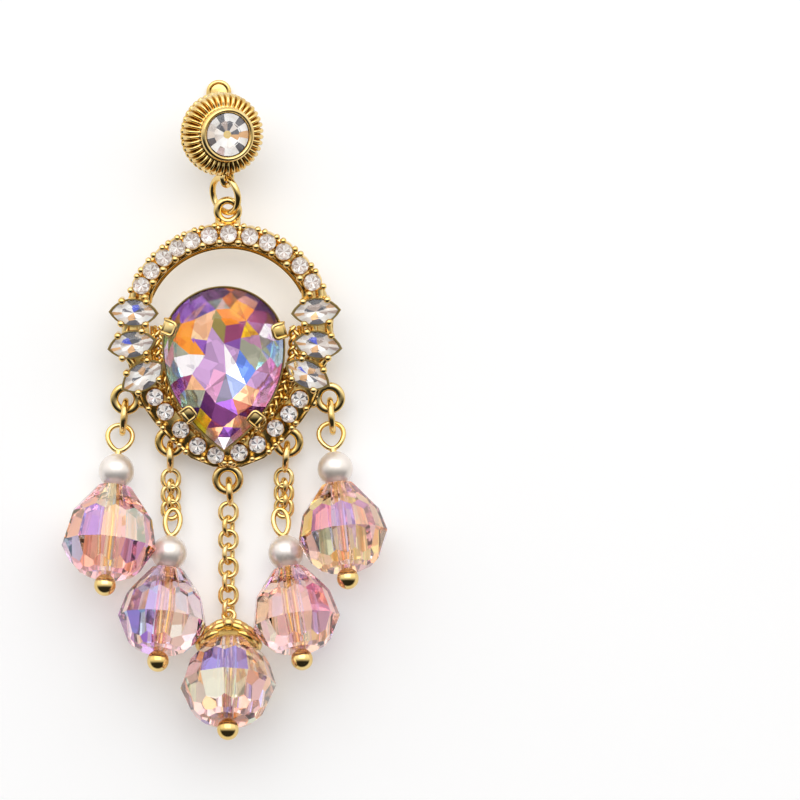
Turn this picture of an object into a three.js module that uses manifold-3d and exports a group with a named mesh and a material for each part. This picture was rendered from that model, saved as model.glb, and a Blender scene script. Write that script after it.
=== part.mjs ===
// Chandelier earring with a clip back, lying face up on a flat surface.
// Millimetres. +Y runs from the drops to the clip, +X to the wearer's left side of the face of it,
// +Z out of the face. The origin is on the surface, below the middle of the object's outline.
import * as THREE from "three";
import { mergeVertices } from "three/addons/utils/BufferGeometryUtils.js";
import Module from "manifold-3d";

const wasm = await Module();
wasm.setup();

// Driving dimensions. Places are measured from the centre of the arch's circle.
const overall = { x: -0.235, y: -8.76 }; // the middle of the whole outline
const clearance = 0.08; // between pieces that are set in one another
const frameTilt = 6; // degrees: the top of the frame is raised by the clip behind the rosette
const frameFoot = -18.28; // y of the frame's lowest edge
const frameLift = 0.85; // that edge lies on the rings that pass below it

const arch = { inner: 9.1, outer: 12, stoneRadius: 10.9, floor: 1.5, startAngle: -14, x: 0.08 };
const roundStone = { radius: 0.91, culet: 1.6, girdle: 2.4, girdleTop: 2.5, table: 2.85, tableShare: 0.6 };
const prong = { radius: 0.36, top: 2.7, sides: 5 };
const marquise = { length: 5.2, width: 3, culet: 1.75, girdle: 2.6, girdleTop: 2.72, table: 3.3 };
const marquiseCup = { grow: 1.16, top: 1.65, prongX: 1.42, prongY: 1.62, prongRadius: 0.3, prongTop: 3 };
const plateTop = 0.5;
const eyelet = { outer: 1.74, hole: 0.93, bottom: 0, top: 0.9 };
const topLoop = { x: 0.07, y: 13.32, mean: 1.16, wire: 0.42, middle: 1 };

const archStoneAngles = [-61.8, -51.3, -40.7, -31, -21.4, -10.9, 0.5, 13, 23.9, 34.9, 47.4, 59.5];
const marquisePlaces = [
  { x: -10.37, y: 2.17, turn: -2 },
  { x: -10.56, y: -1.37, turn: 11 },
  { x: -9.37, y: -4.89, turn: 32 },
  { x: 9.86, y: 2.27, turn: 4.5 },
  { x: 10.03, y: -1.4, turn: -8.5 },
  { x: 8.92, y: -4.67, turn: -27 },
];
const railStonePlaces = [
  { x: -8.04, y: -7.22 },
  { x: -6.9, y: -8.84 },
  { x: -5.18, y: -10.83 },
  { x: -3.32, y: -12.64 },
  { x: -1.3, y: -13.67 },
  { x: 1.29, y: -13.37 },
  { x: 3.34, y: -12.46 },
  { x: 5.33, y: -10.66 },
  { x: 6.83, y: -9.09 },
  { x: 8.04, y: -7.46 },
];
const railProngs = [
  { x: 8.75, y: -8.5 },
  { x: 6.45, y: -7.35 },
  { x: 7.15, y: -10.65 },
  { x: 4.95, y: -9.1 },
  { x: 5.35, y: -12.55 },
  { x: 3.15, y: -10.85 },
  { x: 2.75, y: -14.1 },
  { x: 1.7, y: -11.95 },
];
const railOuter = [
  { x: 11.9, y: 2.5 },
  { x: 11.6, y: -1.5 },
  { x: 10.7, y: -5 },
  { x: 9.35, y: -8.1 },
  { x: 8, y: -10 },
  { x: 6.2, y: -12 },
  { x: 4, y: -13.95 },
  { x: 1.6, y: -14.9 },
];
const railInner = [
  { x: 8.9, y: 2.5 },
  { x: 8.5, y: -1.5 },
  { x: 7.8, y: -4.6 },
  { x: 6.7, y: -6.5 },
  { x: 5.5, y: -8.1 },
  { x: 4.1, y: -9.6 },
  { x: 2.5, y: -11.3 },
  { x: 1.1, y: -12 },
];
const eyeletPlaces = [
  { x: -11.32, y: -7.61 },
  { x: -6.38, y: -12.36 },
  { x: 0, y: -16.54 },
  { x: 6.68, y: -12.39 },
  { x: 11.32, y: -7.51 },
];

const pear = { x: -0.36, y: -1.25, halfWidth: 6.6, topHeight: 6.25, tipLength: 11.65, sideCurve: 2.35 };
const pearStone = { culet: 1, girdle: 3.5, girdleTop: 3.68, table: 5.2, tableShare: 0.6 };
const pearCup = { bottom: 0.6, waist: 1.7, top: 3.35 };
const pearProng = { width: 1.5, thick: 0.4, reach: 1.5, slope: 33, foot: 2.8 };
const pearProngAngles = [167, 12, 243, 297]; // round the stone's middle, from +X

const rosette = { x: -0.27, y: 21.62, z: 8.15, leanRight: 17, leanDown: 4, flutes: 40, radius: 4.65 };
const rosetteStone = { radius: 2.36, culet: 0.1, girdle: 1.5, girdleTop: 1.62, table: 2.1 };
const rosetteLoop = { x: 0.66, y: -4.85, z: -1.3, mean: 0.88, wire: 0.32, turn: 38.5 };
const topRing = { x: -0.2, y: 14.99, z: 5.56, mean: 2.02, wire: 0.36, rise: 21.4, twist: -44.8 };

const clip = { x: -1.03, width: 2.7, tip: 27.9, hinge: 17.95, padEnd: 24.6, padBottom: 5.1, padTop: 5.85 };
const strapThick = 0.8;

const beadRadius = 5.25;
const beadRows = [
  // distance along the thread from the widest place, towards the eye, and radius, both for the full size
  { along: 5.88, radius: 1.75 },
  { along: 4.6, radius: 2.95 },
  { along: 3.1, radius: 4.15 },
  { along: 1.5, radius: 4.95 },
  { along: 0, radius: beadRadius },
  { along: -1.4, radius: 4.95 },
  { along: -2.8, radius: 4 },
  { along: -3.8, radius: 2.95 },
  { along: -4.25, radius: 2.1 },
];
const beadSides = 14;
const bore = 0.62;
const pin = { radius: 0.36, ball: 1.22 };
const pearlSize = { radius: 1.98, bore: 0.5 };
const restTilt = 15.8; // degrees: the thread of a drop that lies on its bead and its ring
const capTilt = 26; // the middle drop lies on the rim of its cap
const capRows = [
  // the dish over the bead's narrow end: along the thread, inner and outer radius
  { along: 4.4, inner: 3.45, outer: 3.75 },
  { along: 5.4, inner: 3.05, outer: 3.5 },
  { along: 6.45, inner: 2, outer: 2.8 },
  { along: 7.2, inner: 0.75, outer: 1.75 },
];
const capTop = 7.5;
const capPetals = 8;

// One row for each drop: the widest place of its bead, its lean to +X and its bead's size.
const drops = [
  { name: "outer_left", x: -13.04, y: -23.17, lean: -5.25, size: 1, pearl: true, eye: "round" },
  { name: "inner_left", x: -7.18, y: -31.88, lean: -5.58, size: 0.93, pearl: true, eye: "long" },
  { name: "middle", x: 0.14, y: -39.4, lean: 0, size: 1, pearl: false, eye: "small" },
  { name: "inner_right", x: 7.57, y: -31.77, lean: 8.9, size: 0.925, pearl: true, eye: "long" },
  { name: "outer_right", x: 12.82, y: -22.64, lean: 6.7, size: 0.955, pearl: true, eye: "round" },
];
const eyes = {
  round: { halfLength: 1.5, halfWidth: 1.5, wire: 0.3, beyondPearl: 2 },
  long: { halfLength: 1.35, halfWidth: 0.87, wire: 0.28, beyondPearl: 1.72 },
  small: { halfLength: 0.62, halfWidth: 0.62, wire: 0.26, beyondPearl: 2.58 },
};
const dropRings = [
  { x: -11.53, y: -9.66, mean: 1.82, wire: 0.36, lean: -6 },
  { x: -6.4, y: -14.08, mean: 1.52, wire: 0.36, lean: 0 },
  { x: 0.2, y: -17.98, mean: 1.35, wire: 0.36, lean: 4 },
  { x: 6.5, y: -14.08, mean: 1.5, wire: 0.36, lean: -5 },
  { x: 11.55, y: -9.56, mean: 1.82, wire: 0.36, lean: 5 },
];
const chainRadius = 1;
const chains = [
  { name: "inner_left", from: { x: -6.4, y: -16.5 }, to: { x: -6.35, y: -19.7 } },
  { name: "middle", from: { x: 0.1, y: -19.95 }, to: { x: 0.14, y: -30.6 } },
  { name: "inner_right", from: { x: 6.3, y: -16.5 }, to: { x: 6.2, y: -19.7 } },
];

// Finishes
const gold = new THREE.MeshStandardMaterial({ color: 0xd6a64c, metalness: 1, roughness: 0.22 });
const clearGlass = new THREE.MeshStandardMaterial({ color: 0xf2f2f5, metalness: 0, roughness: 0.05 });
const lilacGlass = new THREE.MeshStandardMaterial({ color: 0xc08fc4, metalness: 0, roughness: 0.05 });
const roseGlass = new THREE.MeshStandardMaterial({ color: 0xeec4d4, metalness: 0, roughness: 0.05 });
const pearlFinish = new THREE.MeshStandardMaterial({ color: 0xeee6de, metalness: 0, roughness: 0.25 });

const radians = THREE.MathUtils.degToRad;

// A closed solid from a three.js geometry, with its faces turned outwards.
function solid(geometry) {
  const bare = geometry.clone();
  bare.deleteAttribute("normal");
  bare.deleteAttribute("uv");
  const merged = mergeVertices(bare, 1e-4);
  const corners = [];
  for (let i = 0; i < merged.index.count; i += 3) {
    const [a, b, c] = [merged.index.getX(i), merged.index.getX(i + 1), merged.index.getX(i + 2)];
    if (a !== b && b !== c && a !== c) corners.push(a, b, c);
  }
  const build = (triVerts) => {
    const vertProperties = merged.attributes.position.array;
    return new wasm.Manifold(new wasm.Mesh({ numProp: 3, vertProperties, triVerts }));
  };
  const made = build(new Uint32Array(corners));
  return made.volume() > 0 ? made : build(new Uint32Array(corners.reverse()));
}

function join(...solids) {
  return solids.reduce((whole, piece) => whole.add(piece));
}

function placed(shape, { x = 0, y = 0, z = 0, turn = 0 }) {
  return shape.rotate([0, 0, turn]).translate([x, y, z]);
}

function piece(name, shape, material) {
  const { numProp, vertProperties, triVerts } = shape.getMesh();
  const geometry = new THREE.BufferGeometry();
  const points = new Float32Array((vertProperties.length / numProp) * 3);
  for (let i = 0; i < points.length / 3; i += 1) {
    points.set(vertProperties.subarray(i * numProp, i * numProp + 3), i * 3);
  }
  geometry.setAttribute("position", new THREE.BufferAttribute(points, 3));
  geometry.setIndex(new THREE.BufferAttribute(triVerts, 1));
  geometry.computeVertexNormals();
  const mesh = new THREE.Mesh(geometry, material);
  mesh.name = name;
  return mesh;
}

// A solid whose level sections are one outline, scaled: a profile row is [share of the outline, height].
function loft(outline, profile) {
  const rows = profile.map(([share, height]) => new THREE.Vector2(share, height));
  const shape = new THREE.LatheGeometry(rows, outline.length);
  const position = shape.attributes.position;
  for (let i = 0; i <= outline.length; i += 1) {
    const side = outline[i % outline.length];
    rows.forEach((row, j) => {
      position.setXYZ(i * rows.length + j, side.x * row.x, side.y * row.x, row.y);
    });
  }
  return solid(shape);
}

function circle(radius, sides) {
  return Array.from({ length: sides }, (_, i) => {
    const angle = (2 * Math.PI * i) / sides;
    return { x: radius * Math.cos(angle), y: radius * Math.sin(angle) };
  });
}

function post(radius, bottom, top, sides) {
  return loft(circle(radius, sides), [
    [0, bottom],
    [1, bottom],
    [1, top],
    [0, top],
  ]);
}

function stone(outline, { culet, girdle, girdleTop, table, tableShare = 0.6 }) {
  return loft(outline, [
    [0, culet],
    [1, girdle],
    [1, girdleTop],
    [tableShare, table],
    [0, table],
  ]);
}

// The pointed oval between two equal arcs.
function marquiseOutline(length, width, stepsPerSide = 7) {
  const [a, b] = [length / 2, width / 2];
  const arcRadius = (a * a + b * b) / (2 * b);
  const half = Math.asin(a / arcRadius);
  const side = (sign) =>
    Array.from({ length: stepsPerSide }, (_, i) => {
      const angle = half - (2 * half * i) / stepsPerSide;
      return {
        x: sign * arcRadius * Math.sin(angle),
        y: sign * (arcRadius * Math.cos(angle) - (arcRadius - b)),
      };
    });
  return [...side(1), ...side(-1)];
}

// Round at the top and drawn out to a tip at the bottom.
function pearOutline(steps = 16) {
  const round = Array.from({ length: steps }, (_, i) => {
    const angle = (Math.PI * i) / steps;
    return { x: pear.halfWidth * Math.cos(angle), y: pear.topHeight * Math.sin(angle) };
  });
  const side = Array.from({ length: steps / 2 }, (_, i) => {
    const share = i / (steps / 2);
    const width = pear.halfWidth * (1 - share ** pear.sideCurve);
    return { x: -width, y: -pear.tipLength * share };
  });
  const otherSide = side.slice(1).map(({ x, y }) => ({ x: -x, y })).reverse();
  return [...round, ...side, { x: 0, y: -pear.tipLength }, ...otherSide];
}

function plate(points, bottom, top, holes = []) {
  const shape = new THREE.Shape(points.map(({ x, y }) => new THREE.Vector2(x, y)));
  shape.holes = holes.map((hole) => new THREE.Path(hole.map(({ x, y }) => new THREE.Vector2(x, y))));
  const geometry = new THREE.ExtrudeGeometry(shape, { depth: top - bottom, bevelEnabled: false, steps: 1 });
  return solid(geometry).translate([0, 0, bottom]);
}

function ring(mean, wire, sides = 6, steps = 20) {
  return solid(new THREE.TorusGeometry(mean, wire, sides, steps));
}

function mirrored(points) {
  return points.map(({ x, y }) => ({ x: -x, y }));
}

function archPoint(radius, degreesFromTop) {
  const angle = radians(degreesFromTop);
  return { x: arch.x + radius * Math.sin(angle), y: radius * Math.cos(angle) };
}

// The frame, in its own plane: the back is at z = 0.
function makeFrame() {
  const steps = 36;
  const sweep = 180 - 2 * arch.startAngle;
  const along = (radius) =>
    Array.from({ length: steps + 1 }, (_, i) => archPoint(radius, -sweep / 2 + (sweep * i) / steps));
  const archBand = plate([...along(arch.outer), ...along(arch.inner).reverse()], 0, arch.floor);

  const rail = plate(
    [
      ...railOuter,
      ...mirrored(railOuter).reverse(),
      ...mirrored(railInner),
      ...[...railInner].reverse(),
    ],
    0,
    arch.floor,
  );
  const backTop = -4;
  const back = plate(
    [
      { x: 8.2, y: backTop },
      ...railInner.slice(3).map(({ x, y }) => ({ x: x + 0.5, y: y - 0.3 })),
      ...mirrored(railInner.slice(3)).reverse().map(({ x, y }) => ({ x: x - 0.5, y: y - 0.3 })),
      { x: -8.2, y: backTop },
    ],
    0,
    plateTop,
  );

  const cups = marquisePlaces.map((place) => {
    const outline = marquiseOutline(marquise.length * marquiseCup.grow, marquise.width * marquiseCup.grow);
    const cup = loft(outline, [
      [0, 0],
      [0.9, 0],
      [1, marquiseCup.top],
      [0, marquiseCup.top],
    ]);
    const prongs = [-1, 1].flatMap((i) =>
      [-1, 1].map((j) =>
        post(marquiseCup.prongRadius, 0.6, marquiseCup.prongTop, prong.sides).translate([
          i * marquiseCup.prongX,
          j * marquiseCup.prongY,
          0,
        ]),
      ),
    );
    return placed(join(cup, ...prongs), place);
  });

  const archProngs = [];
  for (let i = 0; i + 1 < archStoneAngles.length; i += 1) {
    const middle = (archStoneAngles[i] + archStoneAngles[i + 1]) / 2;
    archProngs.push(archPoint(9.75, middle), archPoint(11.85, middle));
  }
  archProngs.push(archPoint(9.8, -67.5), archPoint(11.7, -67.5), archPoint(9.8, 65.5), archPoint(11.7, 65.5));
  const posts = [...archProngs, ...railProngs, ...mirrored(railProngs)].map((place) =>
    placed(post(prong.radius, 1, prong.top, prong.sides), place),
  );

  const washers = eyeletPlaces.map((place) =>
    placed(
      plate(circle(eyelet.outer, 16), eyelet.bottom, eyelet.top, [circle(eyelet.hole, 12)]),
      place,
    ),
  );
  const necks = [
    plate([{ x: -10.2, y: -6.6 }, { x: -10.2, y: -8.2 }, { x: -8.6, y: -8.2 }, { x: -8.6, y: -6.6 }], 0.1, 1),
    plate([{ x: 10.2, y: -8.2 }, { x: 10.2, y: -6.6 }, { x: 8.6, y: -6.6 }, { x: 8.6, y: -8.2 }], 0.1, 1),
    plate([{ x: -0.8, y: -15.3 }, { x: 0.8, y: -15.3 }, { x: 0.8, y: -14 }, { x: -0.8, y: -14 }], 0.1, 1.2),
  ];
  const loop = ring(topLoop.mean, topLoop.wire, 8, 20).translate([topLoop.x, topLoop.y, topLoop.middle]);

  return join(archBand, rail, back, ...cups, ...posts, ...washers, ...necks, loop);
}

function makePearSetting() {
  const outline = pearOutline();
  const cup = loft(outline, [
    [0.3, pearCup.bottom],
    [0.86, pearCup.bottom],
    [0.9, pearCup.waist],
    [1.03, pearCup.top],
    [0.985, pearCup.top],
    [0.3, 1.55],
    [0.3, pearCup.bottom],
  ]);
  const prongs = pearProngAngles.map((degrees) => {
    const edge = pearEdge(degrees);
    const uprightTop = pearStone.girdleTop + 0.55;
    const upright = new THREE.BoxGeometry(pearProng.thick, pearProng.width, uprightTop - pearProng.foot);
    upright.translate(clearance + pearProng.thick / 2, 0, (uprightTop + pearProng.foot) / 2);
    const tab = new THREE.BoxGeometry(pearProng.reach, pearProng.width, pearProng.thick);
    tab.translate(-pearProng.reach / 2, 0, pearProng.thick / 2);
    tab.rotateY(radians(pearProng.slope));
    tab.translate(clearance + pearProng.thick, 0, uprightTop - 0.2);
    return placed(join(solid(upright), solid(tab)), edge);
  });
  return join(cup, ...prongs).translate([pear.x, pear.y, 0]);
}

// The point of the pear's outline in a direction from its middle, turned the way its edge faces there.
function pearEdge(degrees) {
  const outline = pearOutline(64);
  const aim = new THREE.Vector2(Math.cos(radians(degrees)), Math.sin(radians(degrees)));
  const share = ({ x, y }) => aim.dot(new THREE.Vector2(x, y).normalize());
  const at = outline.reduce((best, point, i) => (share(point) > share(outline[best]) ? i : best), 0);
  const before = outline.at(at - 1);
  const after = outline[(at + 1) % outline.length];
  const facing = Math.atan2(before.x - after.x, after.y - before.y);
  return { x: outline[at].x, y: outline[at].y, turn: THREE.MathUtils.radToDeg(facing) };
}

// The fluted disc: each second side of its outline is drawn in, on the rim and on the sloping face.
function makeRosette() {
  const disc = loft(
    Array.from({ length: 2 * rosette.flutes }, (_, i) => {
      const angle = (Math.PI * i) / rosette.flutes;
      const radius = i % 2 ? rosette.radius * 0.965 : rosette.radius;
      return { x: radius * Math.cos(angle), y: radius * Math.sin(angle) };
    }),
    [
      [0, -1.6],
      [0.93, -1.6],
      [0.99, -1.3],
      [1, -0.3],
      [0.97, 0.05],
      [0.64, 0.75],
      [0, 0.75],
    ],
  );
  const bezel = loft(circle(1, 32), [
    [0, 0],
    [3.05, 0],
    [3.08, 1.2],
    [2.85, 1.7],
    [2.6, 1.8],
    [2.48, 1.6],
    [2.46, 1.35],
    [0.5, -0.15],
    [0, -0.15],
  ]);
  const seat = loft(circle(1, 32), [
    [0, -0.15],
    [0.5, -0.15],
    [2.46, 1.35],
    [2.46, 3],
    [0, 3],
  ]);
  const loop = ring(rosetteLoop.mean, rosetteLoop.wire, 8, 16).rotate([0, rosetteLoop.turn, 0]);
  return join(disc, bezel).subtract(seat).add(loop.translate([rosetteLoop.x, rosetteLoop.y, rosetteLoop.z]));
}

// The clip: a pad behind the disc, a bend round the hinge and a long strap with a round, rimmed tip.
function makeClip() {
  const { hinge, tip, padEnd, padBottom, padTop, width } = clip;
  const side = [
    { x: hinge + 1.1, y: 0 },
    { x: tip, y: 0 },
    { x: tip, y: strapThick },
    { x: hinge + 1.1, y: strapThick },
    { x: hinge + 0.8, y: strapThick + 0.3 },
    { x: hinge + 0.8, y: padBottom - 0.3 },
    { x: hinge + 1.1, y: padBottom },
    { x: padEnd, y: padBottom },
    { x: padEnd, y: padTop },
    { x: hinge + 1, y: padTop },
    { x: hinge, y: padTop - 1 },
    { x: hinge, y: 1.1 },
  ];
  const bent = plate(side, -width, width).rotate([90, 0, 90]);
  const outline = [
    { x: -width / 2, y: hinge - 1 },
    { x: width / 2, y: hinge - 1 },
    ...circle(width / 2, 24).slice(0, 13).map(({ x, y }) => ({ x, y: y + tip - width / 2 })),
  ];
  const recess = circle(width / 2 - 0.5, 20).slice(0, 11).map(({ x, y }) => ({ x, y: y + tip - width / 2 }));
  const pocket = [{ x: -width / 2 + 0.5, y: tip - 4 }, { x: width / 2 - 0.5, y: tip - 4 }, ...recess];
  return bent
    .intersect(plate(outline, -1, padTop + 1))
    .subtract(plate(pocket, strapThick - 0.3, strapThick + 1))
    .translate([clip.x, 0, 0]);
}

function beadProfile(size) {
  const rows = beadRows.map(({ along, radius }) => [radius * size, along * size]);
  const [top, bottom] = [rows[0][1], rows.at(-1)[1]];
  return [[bore, top], ...rows, [bore, bottom], [bore, top]];
}

// Turned about the thread, which runs along the drop's own Y.
function onThread(profile, sides) {
  return loft(circle(1, sides), profile).rotate([-90, 0, 0]);
}

// How high the thread is above the surface at the widest place, when the bead touches the surface.
function seatHeight({ size, pearl: hasPearl }, tilt) {
  const [rise, level] = [Math.sin(radians(tilt)), Math.cos(radians(tilt))];
  const bead = beadRows.map(({ along, radius }) => (radius * level + along * rise) * size);
  const cap = capRows.map(({ along, outer }) => outer * level + along * rise);
  return Math.max(...bead, ...(hasPearl ? [] : cap));
}

function pearlProfile(centre) {
  const rows = [];
  const steps = 8;
  const start = Math.asin(pearlSize.bore / pearlSize.radius);
  for (let i = 0; i <= steps; i += 1) {
    const angle = start + ((Math.PI - 2 * start) * i) / steps;
    rows.push([pearlSize.radius * Math.sin(angle), centre + pearlSize.radius * Math.cos(angle)]);
  }
  return [...rows, rows[0]];
}

function makeDrop(row) {
  const tilt = row.pearl ? restTilt : capTilt;
  const group = new THREE.Group();
  group.position.set(row.x, row.y, seatHeight(row, tilt));
  group.rotation.set(radians(-tilt), 0, radians(row.lean), "ZXY");

  const bead = onThread(beadProfile(row.size), beadSides);
  group.add(piece("bead_" + row.name, bead, roseGlass));

  const top = beadRows[0].along * row.size;
  const ballCentre = beadRows.at(-1).along * row.size - Math.sqrt(pin.ball ** 2 - bore ** 2) - 0.04;
  const threadTop = row.pearl ? top + 2 * Math.sqrt(pearlSize.radius ** 2 - bore ** 2) : top;
  const eye = eyes[row.eye];
  const eyeCentre = threadTop + eye.beyondPearl;
  const loop = solid(new THREE.TorusGeometry(1, eye.wire, 6, 18))
    .warp((v) => {
      const distance = Math.hypot(v[0], v[1]);
      const [ux, uy] = [v[0] / distance, v[1] / distance];
      v[0] = ux * (eye.halfWidth + distance - 1);
      v[1] = uy * (eye.halfLength + distance - 1);
    })
    .translate([0, eyeCentre, 0]);
  const shaft = onThread(
    [
      [0, ballCentre],
      [pin.radius, ballCentre],
      [pin.radius, eyeCentre - eye.halfLength],
      [0, eyeCentre - eye.halfLength],
    ],
    8,
  );
  const ball = solid(new THREE.SphereGeometry(pin.ball, 12, 8)).translate([0, ballCentre, 0]);
  group.add(piece("head_pin_" + row.name, join(loop, shaft, ball), gold));

  if (row.pearl) {
    const centre = top + Math.sqrt(pearlSize.radius ** 2 - bore ** 2) + 0.03;
    group.add(piece("pearl_" + row.name, onThread(pearlProfile(centre), 12), pearlFinish));
  } else {
    group.add(piece("bead_cap", makeCap(), gold));
  }
  return group;
}

// A dished cap over the bead's narrow end, with a petalled edge.
function makeCap() {
  const outline = Array.from({ length: 3 * capPetals }, (_, i) => {
    const radius = i % 3 === 0 ? 0.95 : 1;
    const angle = (2 * Math.PI * i) / (3 * capPetals);
    return { x: radius * Math.cos(angle), y: radius * Math.sin(angle) };
  });
  const inside = capRows.map(({ along, inner }) => [inner, along]);
  const outside = capRows.map(({ along, outer }) => [outer, along]);
  return loft(outline, [...inside, [bore, capTop - 0.3], [bore, capTop], ...outside.reverse(), inside[0]]).rotate([
    -90, 0, 0,
  ]);
}

function makeChain(row) {
  const height = chainRadius + 0.1;
  const path = new THREE.LineCurve3(
    new THREE.Vector3(row.from.x, row.from.y, height),
    new THREE.Vector3(row.to.x, row.to.y, height),
  );
  const section = new THREE.Shape(circle(chainRadius, 8).map(({ x, y }) => new THREE.Vector2(x, y)));
  const length = path.getLength();
  const steps = Math.max(1, Math.round(length / (5 * chainRadius)));
  return solid(new THREE.ExtrudeGeometry(section, { steps, extrudePath: path }));
}

const earring = new THREE.Group();
const body = new THREE.Group();
body.position.set(-overall.x, -overall.y, 0);
earring.add(body);

// Frame and what is set in it
const pivot = new THREE.Group();
pivot.position.set(0, frameFoot, frameLift);
pivot.rotation.x = radians(frameTilt);
pivot.scale.y = 1 / Math.cos(pivot.rotation.x); // the frame's places are as seen from straight above
body.add(pivot);
const frameGroup = new THREE.Group();
frameGroup.position.y = -frameFoot;
pivot.add(frameGroup);

frameGroup.add(piece("frame", makeFrame(), gold));
frameGroup.add(piece("pear_setting", makePearSetting(), gold));
const pearMesh = piece("pear_stone", stone(pearOutline(), pearStone), lilacGlass);
pearMesh.position.set(pear.x, pear.y, 0);
frameGroup.add(pearMesh);

const smallStone = stone(circle(roundStone.radius, 10), roundStone);
const numbered = (name, i) => name + "_" + String(i + 1).padStart(2, "0");
archStoneAngles.forEach((angle, i) => {
  const mesh = piece(numbered("arch_stone", i), smallStone, clearGlass);
  const { x, y } = archPoint(arch.stoneRadius, angle);
  mesh.position.set(x, y, 0);
  frameGroup.add(mesh);
});
railStonePlaces.forEach(({ x, y }, i) => {
  const mesh = piece(numbered("rail_stone", i), smallStone, clearGlass);
  mesh.position.set(x, y, 0);
  frameGroup.add(mesh);
});
marquisePlaces.forEach(({ x, y, turn }, i) => {
  const cut = stone(marquiseOutline(marquise.length, marquise.width), marquise);
  const mesh = piece("marquise_stone_" + (i + 1), cut, clearGlass);
  mesh.position.set(x, y, 0);
  mesh.rotation.z = radians(turn);
  frameGroup.add(mesh);
});

// Rosette, its stone, the clip behind it and the ring below it
const rosetteGroup = new THREE.Group();
rosetteGroup.position.set(rosette.x, rosette.y, rosette.z);
rosetteGroup.rotation.set(radians(rosette.leanDown), radians(rosette.leanRight), 0);
rosetteGroup.add(piece("rosette", makeRosette(), gold));
rosetteGroup.add(piece("rosette_stone", stone(circle(rosetteStone.radius, 16), rosetteStone), clearGlass));
body.add(rosetteGroup);
body.add(piece("ear_clip", makeClip(), gold));

const topRingMesh = piece("top_ring", ring(topRing.mean, topRing.wire, 6, 20), gold);
topRingMesh.position.set(topRing.x, topRing.y, topRing.z);
topRingMesh.rotation.set(radians(topRing.rise), radians(topRing.twist), 0);
body.add(topRingMesh);

// Drops, with the rings and chains that they hang from
drops.forEach((row, i) => {
  body.add(makeDrop(row));
  const { x, y, mean, wire, lean } = dropRings[i];
  const mesh = piece("drop_ring_" + row.name, ring(mean, wire, 6, 18), gold);
  mesh.position.set(x, y, mean + wire + 0.02);
  mesh.rotation.set(0, Math.PI / 2, radians(lean), "ZYX");
  body.add(mesh);
});
chains.forEach((row) => body.add(piece("chain_" + row.name, makeChain(row), gold)));

export default earring;
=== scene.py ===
import random
from math import atan2, cos, hypot, pi, radians, sin, sqrt

import bmesh
import bpy
from mathutils import Matrix, Vector


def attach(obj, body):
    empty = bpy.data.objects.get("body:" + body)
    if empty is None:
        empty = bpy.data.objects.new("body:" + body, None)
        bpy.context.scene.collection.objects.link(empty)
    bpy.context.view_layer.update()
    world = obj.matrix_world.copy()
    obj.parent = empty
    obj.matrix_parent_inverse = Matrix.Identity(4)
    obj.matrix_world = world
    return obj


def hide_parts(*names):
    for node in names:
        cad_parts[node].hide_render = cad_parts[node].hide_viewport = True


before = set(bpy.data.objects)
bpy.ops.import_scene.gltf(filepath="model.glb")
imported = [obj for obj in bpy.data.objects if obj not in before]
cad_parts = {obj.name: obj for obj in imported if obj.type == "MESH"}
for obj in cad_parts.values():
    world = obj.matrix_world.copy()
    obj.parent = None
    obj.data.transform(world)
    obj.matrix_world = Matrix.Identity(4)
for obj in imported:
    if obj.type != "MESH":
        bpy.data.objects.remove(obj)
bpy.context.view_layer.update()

scene = bpy.context.scene
random.seed(11)

# Places are millimetres from the middle of the arch, +Y towards the clip. toMetres lays them in the model
layout = {"originX": 0.235, "originY": 8.76, "tilt": 6.0, "foot": -18.28, "lift": 0.85}
toMetres = Matrix.Scale(0.001, 4) @ Matrix.Translation((layout["originX"], layout["originY"], 0))
frameTilt = radians(layout["tilt"])
inFrame = (
    toMetres
    @ Matrix.Translation((0, layout["foot"], layout["lift"]))
    @ Matrix.Rotation(frameTilt, 4, "X")
    @ Matrix.Diagonal((1, 1 / cos(frameTilt), 1, 1))
    @ Matrix.Translation((0, -layout["foot"], 0))
)


def closeSeams(bm, distance=0.002):
    bmesh.ops.remove_doubles(bm, verts=bm.verts[:], dist=distance)
    bmesh.ops.recalc_face_normals(bm, faces=bm.faces[:])


def finishPiece(name, bm, materials, nodes, place, smoothUpTo=None):
    bmesh.ops.transform(bm, matrix=place, verts=bm.verts[:])
    mesh = bpy.data.meshes.new(name)
    bm.to_mesh(mesh)
    bm.free()
    if smoothUpTo:
        mesh.polygons.foreach_set("use_smooth", [True] * len(mesh.polygons))
        mesh.set_sharp_from_angle(angle=radians(smoothUpTo))
    for material in materials:
        mesh.materials.append(material)
    piece = bpy.data.objects.new(name, mesh)
    scene.collection.objects.link(piece)
    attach(piece, "root")
    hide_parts(*nodes)


def template(bm):
    mesh = bpy.data.meshes.new("template")
    bm.to_mesh(mesh)
    bm.free()
    return mesh


def addCopy(bm, mesh, place):
    before = set(bm.verts)
    bm.from_mesh(mesh)
    bmesh.ops.transform(bm, matrix=place, verts=[vert for vert in bm.verts if vert not in before])


def at(x, y, z=0.0, turn=0.0):
    return Matrix.Translation((x, y, z)) @ Matrix.Rotation(radians(turn), 4, "Z")


def addRing(bm, mean, wire, place, reach=0.0, steps=36, sides=12):
    # A round wire closed into a ring. reach draws it out along Y into a long link.
    upright = Matrix.Translation((mean, 0, 0)) @ Matrix.Rotation(pi / 2, 4, "X")
    section = bmesh.ops.create_circle(bm, segments=sides, radius=wire, matrix=upright)["verts"]
    edges = list({edge for vert in section for edge in vert.link_edges})
    before = set(bm.verts) - set(section)
    bmesh.ops.spin(
        bm, geom=section + edges, cent=(0, 0, 0), axis=(0, 0, 1), angle=2 * pi, steps=steps, use_merge=True
    )
    made = [vert for vert in bm.verts if vert not in before]
    for vert in made:
        vert.co.y += reach if vert.co.y > 0 else -reach
    bmesh.ops.transform(bm, matrix=place, verts=made)


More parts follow.
